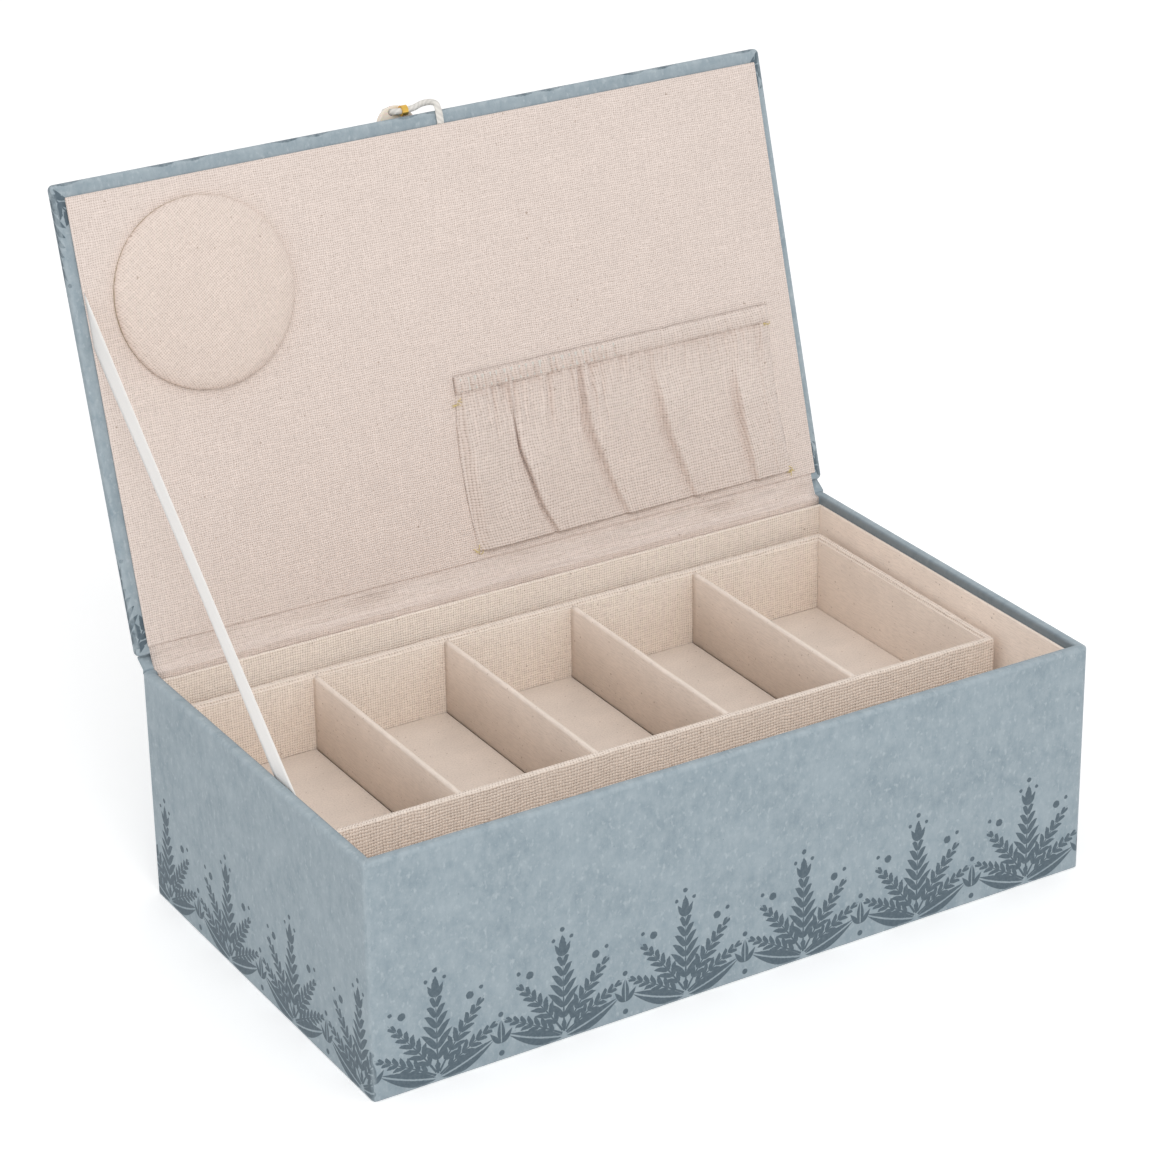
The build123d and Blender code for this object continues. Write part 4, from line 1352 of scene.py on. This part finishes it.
def casing_drop(share, up):
    """How far the casing stands off the lining, from its seam at 0 to its top edge at 1, in millimetres."""
    x = share * CLOTH_SPAN
    ripple = math.sin(x * 2.0 + 3.4 * noise.noise(Vector((x * 0.24, 5.0, 3.0))))
    strength = (0.8 if share < 0.5 else 0.3) * (1 - 0.3 * up)
    body = 1.2 + 1.5 * math.sin(math.pi * min(1.0, up * 0.8 + 0.18)) ** 0.5
    side = min(share, 1 - share) * CLOTH_SPAN
    body = 0.5 + (body - 0.5) * eased(side / 0.9)
    return body + (ripple * strength + 0.14 * noise.noise(Vector((x * 0.8, up * 2.0, 9.0)))) * eased(side / 3.0)


class SEWINGBOX_OT_pocket(bpy.types.Operator):
    """Makes the gathered pocket, its casing, stitches and tacks"""

    bl_idname = "sewing_box.pocket"
    bl_label = "Pocket"

    def execute(self, context):
        low, high = closed_box("pocket")
        elastic_low, elastic_high = closed_box("pocket_elastic")
        self.casing_height = 7 * MM
        self.foot_y = high.y
        self.mouth_y = low.y + self.casing_height
        self.rise_length = self.foot_y - self.mouth_y
        foot_width = 143 * MM
        self.foot_ends = (high.x - foot_width, high.x)
        over_elastic = 0.9 * MM
        self.mouth_ends = (elastic_low.x - over_elastic, elastic_high.x + over_elastic)
        self.face = LINING_LOW.z
        cloth_piece = self.cloth()
        dressed(cloth_piece, "lid", ["pocket"])
        paint("pocket_elastic", "elastic_band")
        self.seams()
        self.tacks()
        return {"FINISHED"}

    def ends_at(self, rise):
        """The pocket's left and right ends at a height."""
        sway = -2.0 * MM * math.sin(math.pi * rise)
        left = self.foot_ends[0] + (self.mouth_ends[0] - self.foot_ends[0]) * rise + sway
        right = self.foot_ends[1] + (self.mouth_ends[1] - self.foot_ends[1]) * rise + sway * 0.6
        return left, right

    def spot(self, share, rise, up=0.0):
        """A point of the cloth on the shut lid; up is the share of the casing's height."""
        left, right = self.ends_at(rise)
        if up == 0.0:
            drop, lean = pocket_drop(share, rise)
            y = self.foot_y - self.rise_length * rise
        else:
            lean = 0.0
            groove = 0.3 * (1 - up) ** 6
            frill = 0.2 * noise.noise(Vector((share * 60, 0, 1)))
            drop = casing_drop(share, up) - groove
            y = self.mouth_y - self.casing_height * up + frill * up * MM
        return Vector((left + (right - left) * share - lean * MM, y, self.face - drop * MM))

    def cloth(self):
        columns, rows, casing_rows = 320, 88, 12
        weave_stretch = 1.06
        maker = bmesh.new()
        layer = maker.loops.layers.uv.new("UVMap")
        levels = [(row / rows, 0.0) for row in range(rows + 1)]
        levels += [(1.0, row / casing_rows) for row in range(1, casing_rows + 1)]
        grid = [[self.spot(column / columns, *level) for column in range(columns + 1)] for level in levels]
        for back in (0.35, 0.85):
            hem = 0.25 * MM * back
            sunk = [Vector((point.x, point.y + hem, point.z + (self.face - 0.7 * MM - point.z) * back))
                    for point in grid[rows + casing_rows]]
            grid.append(sunk)
        grid = [[maker.verts.new(point) for point in line] for line in grid]
        for row, (under, over) in enumerate(zip(grid, grid[1:])):
            for column in range(columns):
                made = maker.faces.new((under[column], over[column], over[column + 1], under[column + 1]))
                corners = ((column, row), (column, row + 1), (column + 1, row + 1), (column + 1, row))
                for loop, (at_column, at_row) in zip(made.loops, corners):
                    slide = 2.2 * MM * noise.noise(Vector((at_column * 0.02, at_row * 0.03, 4.0)))
                    loop[layer].uv = (at_column / columns * CLOTH_SPAN * MM * weave_stretch + slide,
                                      at_row / rows * self.rise_length)
        piece = finished(maker, "pocket_cloth", "pocket_linen", LID_OPENS)
        flip_to(piece, LID_OPENS.to_3x3() @ Vector((0, 0, -1)))
        return thicken(piece, 0.42 * MM)

    def seams(self):
        """Running stitches under the casing and down the right-hand side."""
        pitch, long = 2.4 * MM, 1.6 * MM
        pairs = []
        left, right = self.ends_at(1.0)
        share_long = long / (right - left)
        for number in range(int((right - left - 5 * MM) / pitch)):
            share = (2.5 * MM + pitch * number) / (right - left)
            pairs.append((self.spot(share, 0.985), self.spot(share + share_long, 0.985)))
        side_share = 0.955
        for number in range(int((self.rise_length - 4 * MM) / pitch)):
            rise = (2 * MM + pitch * number) / self.rise_length
            pairs.append((self.spot(side_share, rise), self.spot(side_share, rise + long / self.rise_length)))
        ends = [(LID_OPENS @ first, LID_OPENS @ second) for first, second in pairs]
        lift = LID_OPENS.to_3x3() @ Vector((0, 0, -0.25 * MM))
        seam = stitches("pocket_seam", ends, 0.16 * MM, lift, "seam_yarn")
        dressed(seam, "lid", [])

    def tacks(self):
        """Small knots of thread at three corners of the pocket and beside its mouth."""
        dice = random.Random(7)
        stray = 1.3 * MM
        spots = (
            (self.foot_ends[0], self.foot_y), (self.foot_ends[1], self.foot_y),
            (self.mouth_ends[0], self.mouth_y + 3 * MM), (self.mouth_ends[1] - 1 * MM, self.mouth_y),
        )
        ends = []
        for x, y in spots:
            for _ in range(6):
                offset = Vector((dice.uniform(-stray, stray), dice.uniform(-stray, stray), -0.35 * MM))
                start = Vector((x, y, self.face)) + offset
                reach = Vector((dice.uniform(-1, 1), dice.uniform(-1, 1), 0)).normalized() * 1.8 * MM
                ends.append((LID_OPENS @ start, LID_OPENS @ (start + reach)))
        lift = LID_OPENS.to_3x3() @ Vector((0, 0, -0.8 * MM))
        tacks = stitches("pocket_tack_thread", ends, 0.15 * MM, lift, "tack_yarn")
        dressed(tacks, "lid", ["pocket_tacks"])


def flip_to(piece, way):
    """Turns a sheet's faces over if they point away from a direction on the whole."""
    lean = sum(face.normal.dot(way) * face.area for face in piece.data.polygons)
    if lean < 0:
        piece.data.flip_normals()


def smooth_line(name, corners):
    """Points of the smooth spline whose control points are a cord's route."""
    curve = bpy.data.curves.new(name, "CURVE")
    curve.dimensions = "3D"
    curve.resolution_u = 14
    spline = curve.splines.new("NURBS")
    spline.points.add(len(corners) - 1)
    for point, corner in zip(spline.points, corners):
        point.co = (*corner, 1.0)
    spline.order_u = 3
    spline.use_endpoint_u = True
    carrier = bpy.data.objects.new(name, curve)
    mesh = bpy.data.meshes.new_from_object(carrier)
    points = [vertex.co.copy() for vertex in mesh.vertices]
    bpy.data.objects.remove(carrier)
    bpy.data.curves.remove(curve)
    bpy.data.meshes.remove(mesh)
    return points


def tube(name, material_name, line, radius_at, around=14):
    """A round tube along a line of points. radius_at gives (across, off the lid) radii for a point."""
    maker = bmesh.new()
    layer = maker.loops.layers.uv.new("UVMap")
    total = [0.0]
    for before, here in zip(line, line[1:]):
        total.append(total[-1] + (here - before).length)
    side = None
    rings = []
    for number, here in enumerate(line):
        along = (line[min(number + 1, len(line) - 1)] - line[max(number - 1, 0)]).normalized()
        start = Vector((1, 0, 0)) if side is None else side
        side = (start - along * start.dot(along)).normalized()
        other = along.cross(side)
        wide, tall = radius_at(here)
        rings.append([
            maker.verts.new(here + side * math.cos(turn) * wide + other * math.sin(turn) * tall)
            for turn in (2 * math.pi * step / around for step in range(around))
        ])
    for number, (near, far) in enumerate(zip(rings, rings[1:])):
        for step in range(around):
            after = (step + 1) % around
            face = maker.faces.new((near[step], near[after], far[after], far[step]))
            places = ((step, number), (step + 1, number), (step + 1, number + 1), (step, number + 1))
            for loop, (turned, at) in zip(face.loops, places):
                loop[layer].uv = (turned / around, total[at])
    maker.faces.new(rings[0][::-1])
    maker.faces.new(rings[-1])
    bmesh.ops.recalc_face_normals(maker, faces=maker.faces)
    return finished(maker, name, material_name), total[-1]


class SEWINGBOX_OT_pull(bpy.types.Operator):
    """Makes the pull cord, with its bead and its shell disc"""

    bl_idname = "sewing_box.pull"
    bl_label = "Pull"

    def execute(self, context):
        paint("brass_bead", "bead_brass")
        paint("shell_disc", "disc_shell")
        radius = 1.2 * MM
        face = LID_LOW.z
        front = LID_LOW.y
        corners = [
            (6.7 * MM, front + 5.0 * MM, face - 0.5 * MM), (6.7 * MM, front - 2.0 * MM, face - 1.2 * MM),
            (6.4 * MM, front - 3.6 * MM, face + 3.2 * MM), (3.2 * MM, front - 3.4 * MM, face + 6.2 * MM),
            (-1.6 * MM, front - 2.2 * MM, face + 3.9 * MM), (-9.4 * MM, front - 2.2 * MM, face + 3.9 * MM),
            (-9.4 * MM, front - 2.2 * MM, face + 10.7 * MM),
        ]
        line = smooth_line("pull_cord_route", [LID_OPENS @ Vector(corner) for corner in corners])

        pressed_length, freed_length = 3.2 * MM, 6.0 * MM
        pressed_wide, pressed_tall = 1.25, 0.34

        def radii(point):
            free = eased(((point - line[0]).length - pressed_length) / freed_length)
            return (radius * (pressed_wide + (1 - pressed_wide) * free),
                    radius * (pressed_tall + (1 - pressed_tall) * free))

        cord, length = tube("pull_cord_yarn", "cord_yarn", line, radii)
        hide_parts("pull_cord")
        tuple(line[0])
        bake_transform(cord)
        knot = self.knot(line[-1])
        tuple(line[0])
        return {"FINISHED"}

    def knot(self, place):
        """The knot that keeps the disc on the cord."""
        maker = bmesh.new()
        bmesh.ops.create_uvsphere(maker, u_segments=24, v_segments=16, radius=2.0 * MM)
        layer = maker.loops.layers.uv.new("UVMap")
        for vertex in maker.verts:
            vertex.co *= 0.92 + 0.16 * noise.noise(vertex.co * 900)
            vertex.co += place
        for face in maker.faces:
            for loop in face.loops:
                away = loop.vert.co - place
                loop[layer].uv = (math.atan2(away.y, away.x) / (2 * math.pi), away.z)
        knot = finished(maker, "pull_knot", "cord_yarn")
        return dressed(knot, "pull", [])


class SEWINGBOX_OT_tray(bpy.types.Operator):
    """Makes the tray's linen, its cotton linings and its dividers"""

    bl_idname = "sewing_box.tray"
    bl_label = "Tray"

    def execute(self, context):
        sizes = cloth()
        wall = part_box("tray_front_lining")[0].y - TRAY_LOW.y
        turned = 8 * MM
        soft = sizes.tray_softness
        path = rounded(
            [(6 * MM, TRAY_LOW.z), (0, TRAY_LOW.z), (0, TRAY_HIGH.z), (wall, TRAY_HIGH.z),
             (wall, TRAY_HIGH.z - turned)],
            [0.6 * MM, soft, soft * 0.85],
        )

        def uv_of(side, run, walked, point):
            return (side + run, walked)

        linen = wrap("tray_linen_cloth", "tray_linen", TRAY_LOW, TRAY_HIGH, 1.0 * MM, path, uv_of)
        for vertex in linen.data.vertices:
            if vertex.co.z > TRAY_HIGH.z - 2.5 * MM:
                vertex.co.z -= abs(noise.noise(vertex.co * 70)) * 0.18 * MM
        thicken(linen, 0.35 * MM)
        dressed(linen, "tray", ["tray_linen"])
        low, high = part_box("tray_linen")
        under = panel("tray_under_sheet", "tray_linen", low + Vector((5 * MM, 5 * MM, 0.05 * MM)),
                      Vector((high.x - 5 * MM, high.y - 5 * MM, low.z + 0.35 * MM)), 0.1 * MM)
        dressed(under, "tray", [])
        seam_drop = 0.5 * MM
        finishes = {
            "tray_front_lining": "wall_linen", "tray_back_lining": "wall_linen",
            "tray_left_lining": "wall_cotton", "tray_right_lining": "wall_cotton",
        }
        for node, finish in finishes.items():
            low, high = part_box(node)
            piece = panel(node + "_panel", finish, low, high - Vector((0, 0, seam_drop)), 0.4 * MM)
            dressed(piece, "tray", [node])
        floor_low, floor_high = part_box("tray_floor_lining")
        left = floor_low.x
        for number in range(1, 6):
            right = floor_high.x
            if number < 5:
                node = f"tray_divider_{number}"
                low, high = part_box(node)
                piece = divider(node + "_cloth", low, high, number)
                dressed(piece, "tray", [node])
                right = low.x
            seam = Vector((0.22 * MM, 0.22 * MM, 0))
            floor = panel(f"tray_floor_{number}", "floor_cotton", Vector((left, *floor_low[1:])) + seam,
                          Vector((right, *floor_high[1:])) - seam, 0.18 * MM)
            dressed(floor, "tray", ["tray_floor_lining"] if number == 1 else [])
            left = high.x
        return {"FINISHED"}


def divider(name, low, high, seed):
    """Card covered in cotton, with a rounded and slightly uneven top edge."""
    half = (high.x - low.x) / 2
    middle = (low.x + high.x) / 2
    section = rounded([(-half, low.z), (-half, high.z), (half, high.z), (half, low.z)], [half * 0.9, half * 0.9])
    walked = lengths_along(section)
    columns = 40
    maker = bmesh.new()
    layer = maker.loops.layers.uv.new("UVMap")
    grid = []
    for column in range(columns + 1):
        y = low.y + (high.y - low.y) * column / columns
        row = []
        for (x, z), _ in section:
            raised = (z - low.z) / (high.z - low.z)
            wave = noise.noise(Vector((y * 55, seed * 3.1, raised))) * 0.16 * MM * raised
            row.append(maker.verts.new((middle + x * (1 - 0.06 * raised) + wave, y, z - abs(wave) * 0.6)))
        grid.append(row)
    for column, (near, far) in enumerate(zip(grid, grid[1:])):
        for step in range(len(section) - 1):
            face = maker.faces.new((near[step], near[step + 1], far[step + 1], far[step]))
            for loop, (at, place) in zip(face.loops, ((column, step), (column, step + 1), (column + 1, step + 1),
                                                      (column + 1, step))):
                loop[layer].uv = ((high.y - low.y) * at / columns, walked[place] + seed * 0.1)
    for ends in (grid[0], grid[-1][::-1]):
        maker.faces.new(ends)
    maker.faces.new([row[0] for row in grid] + [row[-1] for row in grid[::-1]])
    bmesh.ops.recalc_face_normals(maker, faces=maker.faces)
    return finished(maker, name, "wall_cotton")


# Stage


def seen_directly(shade):
    """1 for rays from the camera, from a gloss and through a clear material, and 0 for the rest."""
    seen = shade.add("ShaderNodeLightPath").outputs
    mirrored = shade.math("MAXIMUM", seen["Is Glossy Ray"], seen["Is Transmission Ray"])
    return shade.math("MAXIMUM", seen["Is Camera Ray"], mirrored)


class SEWINGBOX_OT_stage(bpy.types.Operator):
    """Sets up the pale floor, the soft light and the camera"""

    bl_idname = "sewing_box.stage"
    bl_label = "Stage"

    def execute(self, context):
        stage = context.scene.sewing_box_stage
        scene = context.scene
        scene.view_settings.view_transform = "Standard"
        self.floor()
        self.sky(stage)
        self.lamp("soft_lamp", (-0.6, -1.8, 1.8), 1.4, stage.key)
        self.camera(stage)
        return {"FINISHED"}

    def floor(self):
        reach = 5.0
        mesh = bpy.data.meshes.new("floor")
        mesh.from_pydata([(-reach, -reach, 0), (reach, -reach, 0), (reach, reach, 0), (-reach, reach, 0)], [],
                         [(0, 1, 2, 3)])
        floor = bpy.data.objects.new("floor", mesh)
        bpy.context.scene.collection.objects.link(floor)
        paper, shade, shader = principled("floor_paper", 0.9)
        shader.inputs["Base Color"].default_value = (0.9, 0.9, 0.9, 1.0)
        shader.inputs["Emission Color"].default_value = (1.0, 1.0, 1.0, 1.0)
        glow = 0.3
        shade.feed(shader.inputs["Emission Strength"], shade.math("MULTIPLY", seen_directly(shade), glow))
        mesh.materials.append(paper)

    def sky(self, stage):
        world = bpy.data.worlds.new("Studio")
        world.use_nodes = True
        bpy.context.scene.world = world
        shade = Shade(world.node_tree)
        background = world.node_tree.nodes["Background"]
        strength = shade.math("MULTIPLY_ADD", seen_directly(shade), 1 - stage.sky, stage.sky)
        background.inputs["Color"].default_value = (1, 1, 1, 1)
        shade.feed(background.inputs["Strength"], strength)

    def lamp(self, name, place, size, power):
        light = bpy.data.lights.new(name, "AREA")
        light.shape = "DISK"
        light.size = size
        light.energy = power
        lamp = bpy.data.objects.new(name, light)
        bpy.context.scene.collection.objects.link(lamp)
        lamp.location = place
        aim = Vector((0, 0, 0.08)) - Vector(place)
        lamp.rotation_euler = aim.to_track_quat("-Z", "Y").to_euler()

    def camera(self, stage):
        data = bpy.data.cameras.new("camera")
        data.sensor_width = 36.0
        data.sensor_fit = "HORIZONTAL"
        data.lens = stage.camera_lens
        camera = bpy.data.objects.new("camera", data)
        bpy.context.scene.collection.objects.link(camera)
        turn, drop, roll = stage.camera_azimuth, stage.camera_drop, stage.camera_roll
        ahead = Vector((math.sin(turn) * math.cos(drop), math.cos(turn) * math.cos(drop), -math.sin(drop)))
        right = Vector((math.cos(turn), -math.sin(turn), 0))
        up = right.cross(ahead)
        tilted_right = right * math.cos(roll) + up * math.sin(roll)
        tilted_up = up * math.cos(roll) - right * math.sin(roll)
        axes = Matrix((tilted_right, tilted_up, -ahead)).transposed()
        camera.matrix_world = Matrix.Translation(Vector(stage.camera_place)) @ axes.to_4x4()
        bpy.context.scene.camera = camera


class SEWINGBOX_PT_panel(bpy.types.Panel):
    bl_idname = "SEWINGBOX_PT_panel"
    bl_label = "Sewing Box"
    bl_space_type = "VIEW_3D"
    bl_region_type = "UI"
    bl_category = "Sewing Box"

    def draw(self, context):
        for maker in MAKERS:
            self.layout.operator(maker.bl_idname)
        for settings in (context.scene.sewing_box_colours, context.scene.sewing_box_cloth,
                         context.scene.sewing_box_stage):
            for name in settings.bl_rna.properties.keys():
                if name not in ("rna_type", "name"):
                    self.layout.prop(settings, name)


SETTINGS = {
    "sewing_box_colours": SewingBoxColours,
    "sewing_box_cloth": SewingBoxCloth,
    "sewing_box_stage": SewingBoxStage,
}
MAKERS = (
    SEWINGBOX_OT_finishes,
    SEWINGBOX_OT_stage,
    SEWINGBOX_OT_box_shell,
    SEWINGBOX_OT_box_linings,
    SEWINGBOX_OT_hinge,
    SEWINGBOX_OT_ribbon,
    SEWINGBOX_OT_lid,
    SEWINGBOX_OT_pincushion,
    SEWINGBOX_OT_pocket,
    SEWINGBOX_OT_pull,
    SEWINGBOX_OT_tray,
)


def register():
    for name, group in SETTINGS.items():
        bpy.utils.register_class(group)
        setattr(bpy.types.Scene, name, bpy.props.PointerProperty(type=group))
    for maker in (*MAKERS, SEWINGBOX_PT_panel):
        bpy.utils.register_class(maker)


def unregister():
    for maker in (SEWINGBOX_PT_panel, *reversed(MAKERS)):
        bpy.utils.unregister_class(maker)
    for name, group in SETTINGS.items():
        delattr(bpy.types.Scene, name)
        bpy.utils.unregister_class(group)


def main():
    register()
    for maker in MAKERS:
        namespace, call = maker.bl_idname.split(".")
        getattr(getattr(bpy.ops, namespace), call)()


if __name__ == "__main__":
    main()
